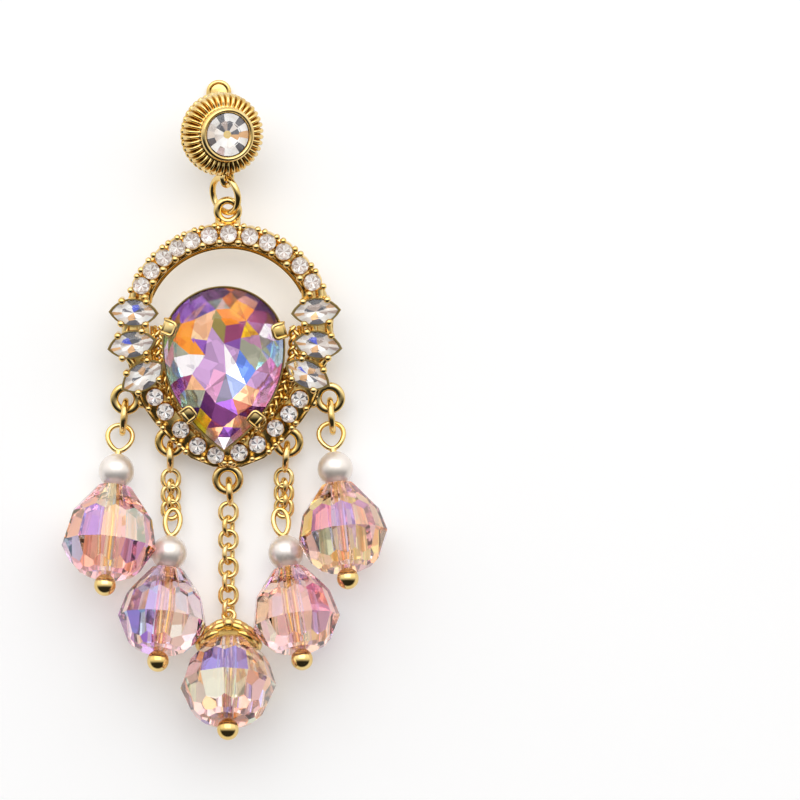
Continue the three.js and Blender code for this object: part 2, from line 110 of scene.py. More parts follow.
def addWire(bm, points, radius, sides=8, closed=False):
    # A round wire through points, with flat ends unless it is closed.
    rings = []
    count = len(points)
    for i, point in enumerate(points):
        before = points[i - 1] if i or closed else point
        after = points[(i + 1) % count] if i + 1 < count or closed else point
        way = (after - before).normalized()
        place = Matrix.Translation(point) @ way.to_track_quat("Z", "Y").to_matrix().to_4x4()
        size = radius(i / (count - 1)) if callable(radius) else radius
        verts = bmesh.ops.create_circle(bm, segments=sides, radius=size, matrix=place)["verts"]
        rings.append(list({edge for vert in verts for edge in vert.link_edges}))
    pairs = list(zip(rings, rings[1:] + rings[:1])) if closed else list(zip(rings, rings[1:]))
    for first, second in pairs:
        bmesh.ops.bridge_loops(bm, edges=first + second)
    if not closed:
        bmesh.ops.edgeloop_fill(bm, edges=rings[0])
        bmesh.ops.edgeloop_fill(bm, edges=rings[-1])


def addTurned(bm, profile, steps):
    # A profile of (radius, height) rows turned about Z.
    before = set(bm.verts)
    row = [bm.verts.new((radius, 0, height)) for radius, height in profile]
    edges = [bm.edges.new(pair) for pair in zip(row, row[1:])]
    bmesh.ops.spin(
        bm, geom=row + edges, cent=(0, 0, 0), axis=(0, 0, 1), angle=2 * pi, steps=steps, use_merge=True
    )
    return [vert for vert in bm.verts if vert not in before]


def addBall(bm, radius, place, around=16, up=10):
    bmesh.ops.create_uvsphere(bm, u_segments=around, v_segments=up, radius=radius, matrix=place)


def addLoft(bm, outline, rows):
    # Level copies of an outline, each row a (share of the outline, height), closed at both ends.
    share, height = rows[0]
    first = [bm.verts.new((x * share, y * share, height)) for x, y in outline]
    edges = [bm.edges.new(pair) for pair in zip(first, first[1:] + first[:1])]
    bottom = list(edges)
    for nextShare, nextHeight in rows[1:]:
        grown = bmesh.ops.extrude_edge_only(bm, edges=edges)["geom"]
        verts = [item for item in grown if isinstance(item, bmesh.types.BMVert)]
        scale = nextShare / share
        for vert in verts:
            vert.co = Vector((vert.co.x * scale, vert.co.y * scale, nextHeight))
        edges = [
            item
            for item in grown
            if isinstance(item, bmesh.types.BMEdge) and all(vert in verts for vert in item.verts)
        ]
        share = nextShare
    bmesh.ops.edgeloop_fill(bm, edges=bottom)
    bmesh.ops.edgeloop_fill(bm, edges=edges)


def addPlate(bm, outline, bottom, top, edge):
    # A flat plate with rounded upper and lower edges.
    verts = [bm.verts.new((x, y, bottom)) for x, y in outline]
    face = bm.faces.new(verts)
    grown = bmesh.ops.extrude_face_region(bm, geom=[face])["geom"]
    upper = [item for item in grown if isinstance(item, bmesh.types.BMVert)]
    bmesh.ops.translate(bm, verts=upper, vec=(0, 0, top - bottom))
    made = verts + upper
    bmesh.ops.recalc_face_normals(bm, faces=list({face for vert in made for face in vert.link_faces}))
    rims = {
        item
        for vert in made
        for item in vert.link_edges
        if all(other in upper for other in item.verts) or all(other in verts for other in item.verts)
    }
    bmesh.ops.bevel(
        bm,
        geom=list(rims),
        offset=edge,
        segments=2,
        profile=0.5,
        affect="EDGES",
        clamp_overlap=True,
        material=-1,
    )


def grind(bm, point, normal, tint=None, material=0):
    # Takes away what lies beyond a plane and closes the cut with one facet.
    bmesh.ops.bisect_plane(
        bm,
        geom=bm.verts[:] + bm.edges[:] + bm.faces[:],
        dist=1e-5,
        plane_co=point,
        plane_no=normal,
        clear_outer=True,
    )
    edges = [edge for edge in bm.edges if edge.is_boundary]
    if len(edges) < 3:
        return
    tints = bm.loops.layers.float_color.get("tint")
    for face in bmesh.ops.edgeloop_fill(bm, edges=edges)["faces"]:
        face.material_index = material
        for loop in face.loops:
            loop[tints] = tint or (1, 1, 1, 0)


def blank(outline, bottom, top):
    # A block of glass before its facets are ground.
    bm = bmesh.new()
    tints = bm.loops.layers.float_color.new("tint")
    addLoft(bm, outline, [(1, bottom), (1, top)])
    bmesh.ops.recalc_face_normals(bm, faces=bm.faces[:])
    for face in bm.faces:
        for loop in face.loops:
            loop[tints] = (1, 1, 1, 0)
    return bm


def circle(radius, sides):
    return [(radius * cos(2 * pi * i / sides), radius * sin(2 * pi * i / sides)) for i in range(sides)]


def newMaterial(name, **values):
    material = bpy.data.materials.new(name)
    material.use_nodes = True
    shader = material.node_tree.nodes["Principled BSDF"]
    for socket, value in values.items():
        shader.inputs[socket].default_value = value
    return material, material.node_tree, shader


def addNode(tree, kind, **values):
    node = tree.nodes.new(kind)
    for socket, value in values.items():
        node.inputs[socket].default_value = value
    return node


def noiseOn(tree, scale, detail=3.0):
    place = tree.nodes.new("ShaderNodeTexCoord")
    noise = addNode(tree, "ShaderNodeTexNoise", Scale=scale, Detail=detail)
    tree.links.new(place.outputs["Object"], noise.inputs["Vector"])
    return noise


def ramp(tree, source, stops):
    node = tree.nodes.new("ShaderNodeValToRGB")
    elements = node.color_ramp.elements
    while len(elements) < len(stops):
        elements.new(0.5)
    for element, (position, colour) in zip(elements, stops):
        element.position = position
        element.color = colour
    tree.links.new(source, node.inputs["Fac"])
    return node


def goldFinish(name, deep, light, roughness, bump):
    material, tree, shader = newMaterial(name, Metallic=1.0)
    patches = noiseOn(tree, 420)
    colour = ramp(tree, patches.outputs["Fac"], [(0.35, (*deep, 1)), (0.65, (*light, 1))])
    tree.links.new(colour.outputs["Color"], shader.inputs["Base Color"])
    fine = noiseOn(tree, 2600, 5)
    spread = tree.nodes.new("ShaderNodeMapRange")
    spread.inputs["To Min"].default_value, spread.inputs["To Max"].default_value = roughness
    tree.links.new(fine.outputs["Fac"], spread.inputs["Value"])
    tree.links.new(spread.outputs["Result"], shader.inputs["Roughness"])
    relief = addNode(tree, "ShaderNodeBump", Strength=bump, Distance=0.0001)
    tree.links.new(fine.outputs["Fac"], relief.inputs["Height"])
    tree.links.new(relief.outputs["Normal"], shader.inputs["Normal"])
    return material


def letLampsThrough(tree, shader, colour):
    # Lamps reach what is inside or below the glass.
    path = tree.nodes.new("ShaderNodeLightPath")
    clear = addNode(tree, "ShaderNodeBsdfTransparent", Color=(*colour, 1))
    mix = tree.nodes.new("ShaderNodeMixShader")
    tree.links.new(path.outputs["Is Shadow Ray"], mix.inputs[0])
    tree.links.new(shader.outputs["BSDF"], mix.inputs[1])
    tree.links.new(clear.outputs["BSDF"], mix.inputs[2])
    tree.links.new(mix.outputs["Shader"], tree.nodes["Material Output"].inputs["Surface"])


def tintOf(tree):
    node = tree.nodes.new("ShaderNodeVertexColor")
    node.layer_name = "tint"
    return node


# The stones: clear glass above a foiled back. The back's colour carries painted reflections, and the splinter
# scale is how finely they break up
crystalLook = {
    "crown": (1.0, 0.995, 0.985),
    "ior": 1.5,
    "foilMetal": 0.35,
    "foilRoughness": 0.2,
    "paintedSplinters": 1100,
    "contrast": 0.1,
}
lilacLook = {
    "crown": (0.99, 0.94, 0.95),
    "ior": 1.36,
    "foilMetal": 0.75,
    "foilRoughness": 0.05,
    "paintedSplinters": 620,
    "contrast": 0.24,
}
roseLook = {"ior": 1.5, "shadow": (0.60, 0.50, 0.42)}


def crownGlass(name, look):
    colour = look["crown"]
    material, tree, shader = newMaterial(name, Roughness=0.0, IOR=look["ior"])
    shader.inputs["Transmission Weight"].default_value = 1.0
    cloud = noiseOn(tree, 300)
    deeper = [channel * 0.985 for channel in colour]
    shade = ramp(tree, cloud.outputs["Fac"], [(0.3, (*deeper, 1)), (0.7, (*colour, 1))])
    tree.links.new(shade.outputs["Color"], shader.inputs["Base Color"])
    letLampsThrough(tree, shader, colour)
    return material


def foilBack(name, look):
    # Each facet has its own tint, broken up into small cells of painted reflection: darker, lighter, and in
    # the brightest cells painted glints.
    material, tree, shader = newMaterial(name, Metallic=look["foilMetal"])
    tints = tintOf(tree)
    place = tree.nodes.new("ShaderNodeTexCoord")
    paintedSplinters = addNode(tree, "ShaderNodeTexVoronoi", Scale=look["paintedSplinters"])
    tree.links.new(place.outputs["Object"], paintedSplinters.inputs["Vector"])
    parts = tree.nodes.new("ShaderNodeSeparateColor")
    tree.links.new(paintedSplinters.outputs["Color"], parts.inputs["Color"])
    low, high = 1 - look["contrast"], 1 + look["contrast"]
    # painted reflections: cells darker and lighter than the tint, a few as painted glints brighter than white
    dark, light, paintedGlint = (low, low, low, 1), (high, high, high, 1), (1.6, 1.5, 1.6, 1)
    shade = ramp(tree, parts.outputs["Red"], [(0.0, dark), (0.8, light), (0.93, light), (0.95, paintedGlint)])
    blend = tree.nodes.new("ShaderNodeMix")
    blend.data_type = "RGBA"
    blend.blend_type = "MULTIPLY"
    blend.inputs[0].default_value = 1.0
    blend.clamp_result = True
    sockets = {socket.identifier: socket for socket in list(blend.inputs) + list(blend.outputs)}
    tree.links.new(tints.outputs["Color"], sockets["A_Color"])
    tree.links.new(shade.outputs["Color"], sockets["B_Color"])
    tree.links.new(sockets["Result_Color"], shader.inputs["Base Color"])
    spread = tree.nodes.new("ShaderNodeMapRange")
    spread.inputs["To Min"].default_value = look["foilRoughness"] * 0.6
    spread.inputs["To Max"].default_value = look["foilRoughness"] * 1.4
    tree.links.new(parts.outputs["Green"], spread.inputs["Value"])
    tree.links.new(spread.outputs["Result"], shader.inputs["Roughness"])
    return material


def roseGlassFinish():
    # The facets carry a rainbow coat: its colour and its strength are the tint of each facet.
    material, tree, shader = newMaterial("roseGlass", Roughness=0.0, IOR=roseLook["ior"])
    shader.inputs["Transmission Weight"].default_value = 1.0
    tints = tintOf(tree)
    tree.links.new(tints.outputs["Color"], shader.inputs["Base Color"])
    tree.links.new(tints.outputs["Alpha"], shader.inputs["Metallic"])
    letLampsThrough(tree, shader, roseLook["shadow"])
    return material


def pearlFinish():
    material, tree, shader = newMaterial("pearlNacre", IOR=1.6, Metallic=0.55)
    shader.inputs["Coat Weight"].default_value = 0.5
    shader.inputs["Coat Roughness"].default_value = 0.08
    cloud = noiseOn(tree, 350, 2)
    shade = ramp(
        tree,
        cloud.outputs["Fac"],
        [(0.3, (0.75, 0.68, 0.60, 1)), (0.5, (0.81, 0.74, 0.68, 1)), (0.7, (0.79, 0.74, 0.71, 1))],
    )
    tree.links.new(shade.outputs["Color"], shader.inputs["Base Color"])
    fine = noiseOn(tree, 1800)
    spread = tree.nodes.new("ShaderNodeMapRange")
    spread.inputs["To Min"].default_value = 0.3
    spread.inputs["To Max"].default_value = 0.34
    tree.links.new(fine.outputs["Fac"], spread.inputs["Value"])
    tree.links.new(spread.outputs["Result"], shader.inputs["Roughness"])
    return material


polishedGold = goldFinish("polishedGold", (0.76, 0.52, 0.17), (0.87, 0.66, 0.30), (0.07, 0.16), 0.03)
castGold = goldFinish("castGold", (0.70, 0.46, 0.13), (0.86, 0.63, 0.26), (0.12, 0.24), 0.12)
# painted shade: a darker gold for the gaps between the rosette's flutes and the dome under the cap's leaves
paintedShadeGold = goldFinish("paintedShadeGold", (0.58, 0.38, 0.12), (0.74, 0.52, 0.2), (0.14, 0.28), 0.1)
clearCrown = crownGlass("clearCrown", crystalLook)
clearFoil = foilBack("clearFoil", crystalLook)
lilacCrown = crownGlass("lilacCrown", lilacLook)
lilacFoil = foilBack("lilacFoil", lilacLook)
roseGlass = roseGlassFinish()
nacre = pearlFinish()
print("materials made")


# The arch of the frame, its stones and prongs. Angles are degrees from the top, to the right
archLook = {
    "x": 0.08,
    "stoneRadius": 10.9,
    "sweep": 104.0,  # to each side of the top
    "inner": 9.15,
    "outer": 11.7,
    "thick": 1.15,
    "edge": 0.12,
    "rails": [(9.27, 1.2), (9.62, 1.62)],  # radius and height of the two wires inside the cups
    "railEnds": (-72, 70),
    "railWire": 0.17,
    "collet": 1.06,
    "webs": [(9.9, 1.5), (11.5, 1.3)],  # radius and height of the webs between two cups
    "webHalf": 2.4,
    "webWire": 0.3,
    "innerProng": {"radius": 9.98, "size": 0.44, "top": 2.75, "ends": [-67.3, 65.2]},
    "outerProng": {
        "radius": 11.83, "size": 0.37, "top": 2.68, "apart": 2.0,
        "ends": [-66.8, 64.6], "endRadius": 11.75,
    },
}
archStoneAngles = [-61.8, -51.3, -40.7, -31, -21.4, -10.9, 0.5, 13, 23.9, 34.9, 47.4, 59.5]
railStonePlaces = [
    (-8.04, -7.22),
    (-6.9, -8.84),
    (-5.18, -10.83),
    (-3.32, -12.64),
    (-1.3, -13.67),
    (1.29, -13.37),
    (3.34, -12.46),
    (5.33, -10.66),
    (6.83, -9.09),
    (8.04, -7.46),
]
marquisePlaces = [
    (-10.37, 2.17, -2),
    (-10.56, -1.37, 11),
    (-9.37, -4.89, 32),
    (9.86, 2.27, 4.5),
    (10.03, -1.4, -8.5),
    (8.92, -4.67, -27),
]


def archPoint(radius, degreesFromTop, z=0.0):
    angle = radians(degreesFromTop)
    return Vector((archLook["x"] + radius * sin(angle), radius * cos(angle), z))


def archPath(radius, z, fromAngle, toAngle, steps):
    return [archPoint(radius, fromAngle + (toAngle - fromAngle) * i / steps, z) for i in range(steps + 1)]


def colletTemplate(radius):
    # The little cup that a round stone sits in.
    bm = bmesh.new()
    addTurned(
        bm,
        [
            (0.3, 0.1),
            (radius, 0.1),
            (radius + 0.02, 1.9),
            (radius - 0.03, 2.22),
            (radius - 0.12, 2.3),
            (radius - 0.2, 2.2),
            (radius - 0.24, 1.9),
            (0.3, 1.3),
            (0.3, 0.1),
        ],
        24,
    )
    closeSeams(bm)
    return template(bm)


def prongTemplate(radius, top, bottom=0.8):
    # A round bead on a short post.
    bm = bmesh.new()
    centre = top - radius
    rows = [(0, bottom), (radius * 0.8, bottom), (radius * 0.72, centre - radius * 0.8)]
    for i in range(7):
        angle = radians(-50 + 140 * i / 6)
        rows.append((radius * cos(angle) if i < 6 else 0, centre + radius * sin(angle)))
    addTurned(bm, rows, 12)
    closeSeams(bm)
    return template(bm)


def makeArch():
    bm = bmesh.new()
    sweep = archLook["sweep"]
    outline = archPath(archLook["outer"], 0, -sweep, sweep, 72)
    outline += archPath(archLook["inner"], 0, sweep, -sweep, 72)
    addPlate(bm, [(point.x, point.y) for point in outline], 0, archLook["thick"], archLook["edge"])
    for radius, z in archLook["rails"]:
        addWire(bm, archPath(radius, z, *archLook["railEnds"], 70), archLook["railWire"])
    collet = colletTemplate(archLook["collet"])
    for angle in archStoneAngles:
        addCopy(bm, collet, Matrix.Translation(archPoint(archLook["stoneRadius"], angle)))
    # two small webs fill each gap between the cups
    for first, second in zip(archStoneAngles, archStoneAngles[1:]):
        middle, half = (first + second) / 2, archLook["webHalf"]
        for radius, z in archLook["webs"]:
            addWire(bm, archPath(radius, z, middle - half, middle + half, 3), archLook["webWire"])
    closeSeams(bm, 0.0005)
    finishPiece("archBand", bm, [polishedGold], ["frame"], inFrame, 40)

    bm = bmesh.new()
    inner, outer = archLook["innerProng"], archLook["outerProng"]
    innerMesh = prongTemplate(inner["size"], inner["top"])
    outerMesh = prongTemplate(outer["size"], outer["top"])
    gaps = [(a + b) / 2 for a, b in zip(archStoneAngles, archStoneAngles[1:])]
    for angle in gaps + inner["ends"]:
        addCopy(bm, innerMesh, Matrix.Translation(archPoint(inner["radius"], angle)))
    for angle in gaps:
        for side in (-1, 1):
            point = archPoint(outer["radius"], angle + side * outer["apart"])
            addCopy(bm, outerMesh, Matrix.Translation(point))
    for angle in outer["ends"]:
        addCopy(bm, outerMesh, Matrix.Translation(archPoint(outer["endRadius"], angle)))
    finishPiece("archProngs", bm, [polishedGold], ["frame"], inFrame, 60)


# One half of the lower rails: their outer and inner edges, and the prongs on them
railOuter = [
    (11.9, 2.5),
    (11.6, -1.5),
    (10.7, -5),
    (9.35, -8.1),
    (8, -10),
    (6.2, -12),
    (4, -13.95),
    (1.6, -14.9),
]
railInner = [
    (8.9, 2.5),
    (8.5, -1.5),
    (7.8, -4.6),
    (6.7, -6.5),
    (5.5, -8.1),
    (4.1, -9.6),
    (2.5, -11.3),
    (1.1, -12),
]
railProngs = [
    (8.75, -8.5),
    (6.45, -7.35),
    (7.15, -10.65),
    (4.95, -9.1),
    (5.35, -12.55),
    (3.15, -10.85),
    (2.75, -14.1),
    (1.7, -11.95),
    (7.6, -10.1),
    (6.0, -11.95),
    (4.6, -13.3),
    (0.35, -14.55),
    (0.3, -12.75),
]
railLook = {"top": 1.35, "edge": 0.12, "rimWire": 0.2, "prong": 0.37, "prongTop": 2.65, "collet": 1.04}
# The plate behind the pear stone: its upper edge, half its width there, and how far it goes under the rails
backPlateLook = {
    "upperEdge": -4.2,
    "halfWidth": 7.9,
    "outwards": 0.4,
    "down": 0.3,
    "thick": 0.45,
    "edge": 0.08,
}


def mirrored(points):
    return [(-x, y) for x, y in points]


def makeRails():
    bm = bmesh.new()
    outline = railOuter + mirrored(railOuter)[::-1] + mirrored(railInner) + railInner[::-1]
    addPlate(bm, outline, 0, railLook["top"], railLook["edge"])
    rim = [Vector((x, y, railLook["top"])) for x, y in railOuter[2:] + mirrored(railOuter[2:])[::-1]]
    addWire(bm, rim, railLook["rimWire"])
    plate = backPlateLook
    half = [(plate["halfWidth"], plate["upperEdge"])]
    half += [(x + plate["outwards"], y - plate["down"]) for x, y in railInner[3:]]
    addPlate(bm, half + mirrored(half)[::-1], 0, plate["thick"], plate["edge"])
    collet = colletTemplate(railLook["collet"])
    for x, y in railStonePlaces:
        addCopy(bm, collet, at(x, y))
    closeSeams(bm, 0.0005)
    finishPiece("lowerRails", bm, [castGold], ["frame"], inFrame, 40)

    bm = bmesh.new()
    bead = prongTemplate(railLook["prong"], railLook["prongTop"])
    for x, y in railProngs + mirrored(railProngs):
        addCopy(bm, bead, at(x, y))
    finishPiece("railProngs", bm, [polishedGold], ["frame"], inFrame, 60)


filigreeLook = {
    # where the plait runs beside the pear stone, from its widest place down to its tip
    "path": [
        (7.5, 0.6),
        (7.5, -1.4),
        (7.3, -3.4),
        (6.7, -5.2),
        (5.8, -7.0),
        (4.7, -8.6),
        (3.4, -10.2),
        (2.2, -11.4),
    ],
    "gap": 0.16,  # between two points of a strand
    "wire": 0.25,
    "height": 2.1,
    "swing": 0.5,
    "lift": 0.22,
    "pitch": 3.1,
    "bead": {"radius": 0.28, "inwards": 0.72, "down": 0.15, "first": 6, "every": 12},
    "rail": {"wire": 0.3, "inwards": 0.78, "down": 0.75},
}


def alongPath(path, gap):
    # Points every gap along a path, each with the way to its side.
    points = []
    for (x1, y1), (x2, y2) in zip(path, path[1:]):
        length = hypot(x2 - x1, y2 - y1)
        side = Vector(((y2 - y1) / length, -(x2 - x1) / length, 0))
        for i in range(round(length / gap)):
            share = i * gap / length
            points.append((Vector((x1 + (x2 - x1) * share, y1 + (y2 - y1) * share, 0)), side))
    return points


def makeFiligree():
    bm = bmesh.new()
    look, bead, rail = filigreeLook, filigreeLook["bead"], filigreeLook["rail"]
    gap = look["gap"]
    points = alongPath(look["path"], gap)
    for mirror in (-1, 1):
        for strand in range(3):
            wire = []
            for i, (point, side) in enumerate(points):
                phase = 2 * pi * (i * gap / look["pitch"] + strand / 3)
                height = look["height"] + look["lift"] * sin(2 * phase)
                place = point + side * look["swing"] * sin(phase)
                wire.append(Vector((mirror * place.x, place.y, height)))
            addWire(bm, wire, look["wire"])
        for point, side in points[bead["first"] :: bead["every"]]:
            place = point - side * bead["inwards"]
            addBall(bm, bead["radius"], at(mirror * place.x, place.y, look["height"] - bead["down"]), 12, 8)
        inside = [point - side * rail["inwards"] for point, side in points]
        wire = [Vector((mirror * place.x, place.y, look["height"] - rail["down"])) for place in inside]
        addWire(bm, wire, rail["wire"])
    closeSeams(bm, 0.0005)
    finishPiece("filigree", bm, [castGold], ["frame"], inFrame, 50)


# The cups of the pointed stones. cupGrow is their outside against the stone
marquiseLook = {"length": 4.95, "width": 2.8, "cupGrow": 1.14, "cupTop": 2.55, "prong": 0.42, "prongTop": 3.2}
marquiseProngs = [(-1.36, -1.25), (1.36, -1.25), (-1.36, 1.25), (1.36, 1.25)]
# Bars that join the right-hand cups to each other and to the arch, from one place to the next, in pairs
cupBars = {
    "ends": [(9.4, 4.6, 9.6, 3.2), (10.4, 0.9, 10.5, -0.2), (10.2, -2.9, 9.7, -3.6), (8.2, -6.0, 8.6, -5.5)],
    "apart": 0.8,
    "height": 1.3,
    "wire": 0.45,
}


def marquiseOutline(length, width):
    # Two equal arcs that meet in points at the ends.
    a, b = length / 2, width / 2
    arcRadius = (a * a + b * b) / (2 * b)
    half = atan2(a, arcRadius - b)
    steps = 10
    angles = [half - 2 * half * i / steps for i in range(steps)]
    side = [(arcRadius * sin(angle), arcRadius * cos(angle) - arcRadius + b) for angle in angles]
    return side + [(-x, -y) for x, y in side]


def makeMarquiseCups():
    cup = bmesh.new()
    outline = marquiseOutline(marquiseLook["length"], marquiseLook["width"])
    grow, top = marquiseLook["cupGrow"], marquiseLook["cupTop"]
    outside = [(grow * 0.86, 0), (grow * 0.95, 1.2), (grow, top - 0.18), (grow * 0.985, top)]
    inside = [(1.01, top), (0.9, 1.9), (0.86, 1.5)]
    addLoft(cup, outline, outside + inside)
    closeSeams(cup, 0.0005)
    cupMesh = template(cup)
    bead = prongTemplate(marquiseLook["prong"], marquiseLook["prongTop"], 0.3)
    bm = bmesh.new()
    for x, y, turn in marquisePlaces:
        place = at(x, y, 0, turn)
        addCopy(bm, cupMesh, place)
        for prongX, prongY in marquiseProngs:
            addCopy(bm, bead, place @ at(prongX, prongY))
    height, apart = cupBars["height"], cupBars["apart"]
    for side in (-1, 1):
        for x1, y1, x2, y2 in cupBars["ends"]:
            for shift in (-apart, apart):
                ends = [Vector((side * (x1 + shift), y1, height)), Vector((side * (x2 + shift), y2, height))]
                addWire(bm, ends, cupBars["wire"])
    finishPiece("marquiseCups", bm, [polishedGold], ["frame"], inFrame, 50)


# The eyelets that the drops hang from, and the loop at the top
eyeletPlaces = [(-11.32, -7.61), (-6.38, -12.36), (0, -16.54), (6.68, -12.39), (11.32, -7.51)]
eyeletLook = {"outer": 1.76, "hole": 0.84, "bottom": 0.0, "top": 0.95}
topLoopLook = {"x": 0.07, "y": 13.32, "z": 1.05, "mean": 1.17, "wire": 0.43}
# Bars of solder, each with its ends and radius, and beads of solder to both sides, with place and radius
eyeletBars = [
    ((-9.95, -7.4, 0.55), (-8.9, -7.35, 0.7), 0.5),
    ((9.95, -7.4, 0.55), (8.9, -7.35, 0.7), 0.5),
    ((0, -15.1, 0.55), (0, -14.1, 0.8), 0.62),
    ((-0.95, 12.5, 0.9), (-0.95, 11.7, 1.0), 0.4),
    ((1.1, 12.5, 0.9), (1.1, 11.7, 1.0), 0.4),
]
solderBeads = [((9.5, -8.1, 0.9), 0.52), ((0.62, -14.7, 1.5), 0.45)]


def eyeletTemplate():
    outer, hole = eyeletLook["outer"], eyeletLook["hole"]
    bottom, top = eyeletLook["bottom"], eyeletLook["top"]
    rows = [
        (hole + 0.06, bottom),
        (outer - 0.08, bottom),
        (outer, bottom + 0.12),
        (outer + 0.01, top - 0.3),
        (outer - 0.07, top - 0.1),
        (outer - 0.22, top),
        (outer - 0.46, top + 0.03),
        (hole + 0.16, top - 0.03),
        (hole + 0.03, top - 0.16),
        (hole, top - 0.35),
        (hole, bottom + 0.1),
        (hole + 0.06, bottom),
    ]
    bm = bmesh.new()
    addTurned(bm, rows, 40)
    closeSeams(bm)
    return template(bm)


def makeEyelets():
    bm = bmesh.new()
    washer = eyeletTemplate()
    for x, y in eyeletPlaces:
        addCopy(bm, washer, at(x, y))
    for first, last, wire in eyeletBars:
        addWire(bm, [Vector(first), Vector(last)], wire)
    for (x, y, z), radius in solderBeads:
        for side in (-1, 1):
            addBall(bm, radius, at(side * x, y, z))
    loop = topLoopLook
    addRing(bm, loop["mean"], loop["wire"], at(loop["x"], loop["y"], loop["z"]))
    closeSeams(bm, 0.0005)
    finishPiece("eyelets", bm, [polishedGold], ["frame"], inFrame, 50)


makeArch()
makeRails()
makeFiligree()
makeMarquiseCups()
makeEyelets()
print("frame made")


# The cut of the round clear stones
roundCut = {
    "radius": 0.93,
    "rays": 12,
    "girdle": 2.42,
    "girdleTop": 2.5,
    "table": 2.92,
    "tableShare": 0.55,
    "culet": 2.02,
}
# The tints of the foiled back facets are painted reflections: bright, pale and dark ones, some blue or sand
# coloured
paintedReflectionTints = {
    "bright": (1.0, 0.98, 0.95, 1),
    "pale": (0.80, 0.74, 0.70, 1),
    "dusk": (0.50, 0.41, 0.37, 1),
    "slate": (0.15, 0.15, 0.17, 1),
    "blue": (0.12, 0.16, 0.85, 1),
    "sand": (0.72, 0.42, 0.20, 1),
}


def ringOfFacets(bm, reach, names, start, rows, bottom, depth):
    # One ring of back facets: rows gives where it starts and ends, as shares of the width and of the depth.
    (nearShare, nearDepth), (farShare, farDepth) = rows
    for i, name in enumerate(names):
        angle = 2 * pi * (i + start) / len(names)
        out = Vector((cos(angle), sin(angle), 0))
        width = reach(out)
        point = out * width * nearShare + Vector((0, 0, bottom + depth * nearDepth))
        rise, run = depth * (farDepth - nearDepth), width * (farShare - nearShare)
        grind(bm, point, (out * rise - Vector((0, 0, run))).normalized(), paintedReflectionTints[name], 1)


def crownFacets(bm, reach, count, start, height, rise, tableShare, outward=1.0):
    for i in range(count):
        angle = 2 * pi * (i + start) / count
        out = Vector((cos(angle), sin(angle), 0))
        width = reach(out)
        slope = out * rise + Vector((0, 0, width * (1 - tableShare)))
        grind(bm, out * width * outward + Vector((0, 0, height)), slope.normalized())


def roundStone(names):
    radius, rays = roundCut["radius"], roundCut["rays"]
    bm = blank(circle(radius, 2 * rays), 0.5, 4)
    depth = roundCut["girdle"] - roundCut["culet"]
    outer = names[1:] + names[:1]
    bend = (0.55, 0.45)

    def reach(out):
        return radius

    ringOfFacets(bm, reach, outer, 0, (bend, (1, 1)), roundCut["culet"], depth)
    ringOfFacets(bm, reach, names, 0, ((0, 0), bend), roundCut["culet"], depth)
    rise = roundCut["table"] - roundCut["girdleTop"]
    crownFacets(bm, reach, 8, 0.5, roundCut["girdleTop"], rise, roundCut["tableShare"])
    grind(bm, Vector((0, 0, roundCut["table"])), Vector((0, 0, 1)))
    return template(bm)


def nodesNamed(start):
    return [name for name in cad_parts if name.startswith(start)]


def stonePiece(name, nodes):
    # An empty mesh for several clear stones, and the call that finishes it.
    bm = bmesh.new()
    bm.loops.layers.float_color.new("tint")
    return bm, lambda: finishPiece(name, bm, [clearCrown, clearFoil], nodes, inFrame)


# The back facets of a round stone, one after the other, each tint a painted reflection
duskStar = [
    "bright", "dusk", "bright", "pale", "bright", "dusk",
    "pale", "dusk", "bright", "dusk", "pale", "dusk",
]
clearStar = [
    "bright", "slate", "bright", "pale", "bright", "slate",
    "bright", "dusk", "bright", "slate", "pale", "dusk",
]


def makeRoundStones():
    dusk = roundStone(duskStar)
    clear = roundStone(clearStar)
    bm, finish = stonePiece("archStones", nodesNamed("arch_stone"))
    for i, angle in enumerate(archStoneAngles):
        point = archPoint(archLook["stoneRadius"], angle)
        addCopy(bm, dusk, at(point.x, point.y, 0, 37 * i))
    finish()
    bm, finish = stonePiece("railStones", nodesNamed("rail_stone"))
    for i, (x, y) in enumerate(railStonePlaces):
        addCopy(bm, clear, at(x, y, 0, 41 * i))
    finish()


marquiseCut = {"girdle": 2.62, "girdleTop": 2.72, "table": 3.3, "tableShare": 0.5, "culet": 1.95}
# Facets from the stone's right-hand tip anticlockwise: the ring at the middle and the ring at the edge, each
# tint a painted reflection
marquiseInner = ["pale", "slate", "dusk", "bright", "slate", "pale", "bright", "sand", "bright", "dusk"]
marquiseOuter = [
    "bright", "sand", "pale", "slate", "bright", "pale", "bright",
    "sand", "bright", "pale", "slate", "bright", "bright", "dusk",
]
# What each of the six stones has instead in its inner ring
marquiseAccents = [
    {2: "blue", 3: "bright", 1: "slate"},
    {3: "blue", 2: "slate", 4: "dusk"},
    {2: "sand", 1: "slate", 7: "pale"},
    {4: "slate", 3: "dusk", 6: "bright"},
    {3: "blue", 7: "sand", 1: "pale"},
    {4: "blue", 2: "sand", 9: "slate"},
]


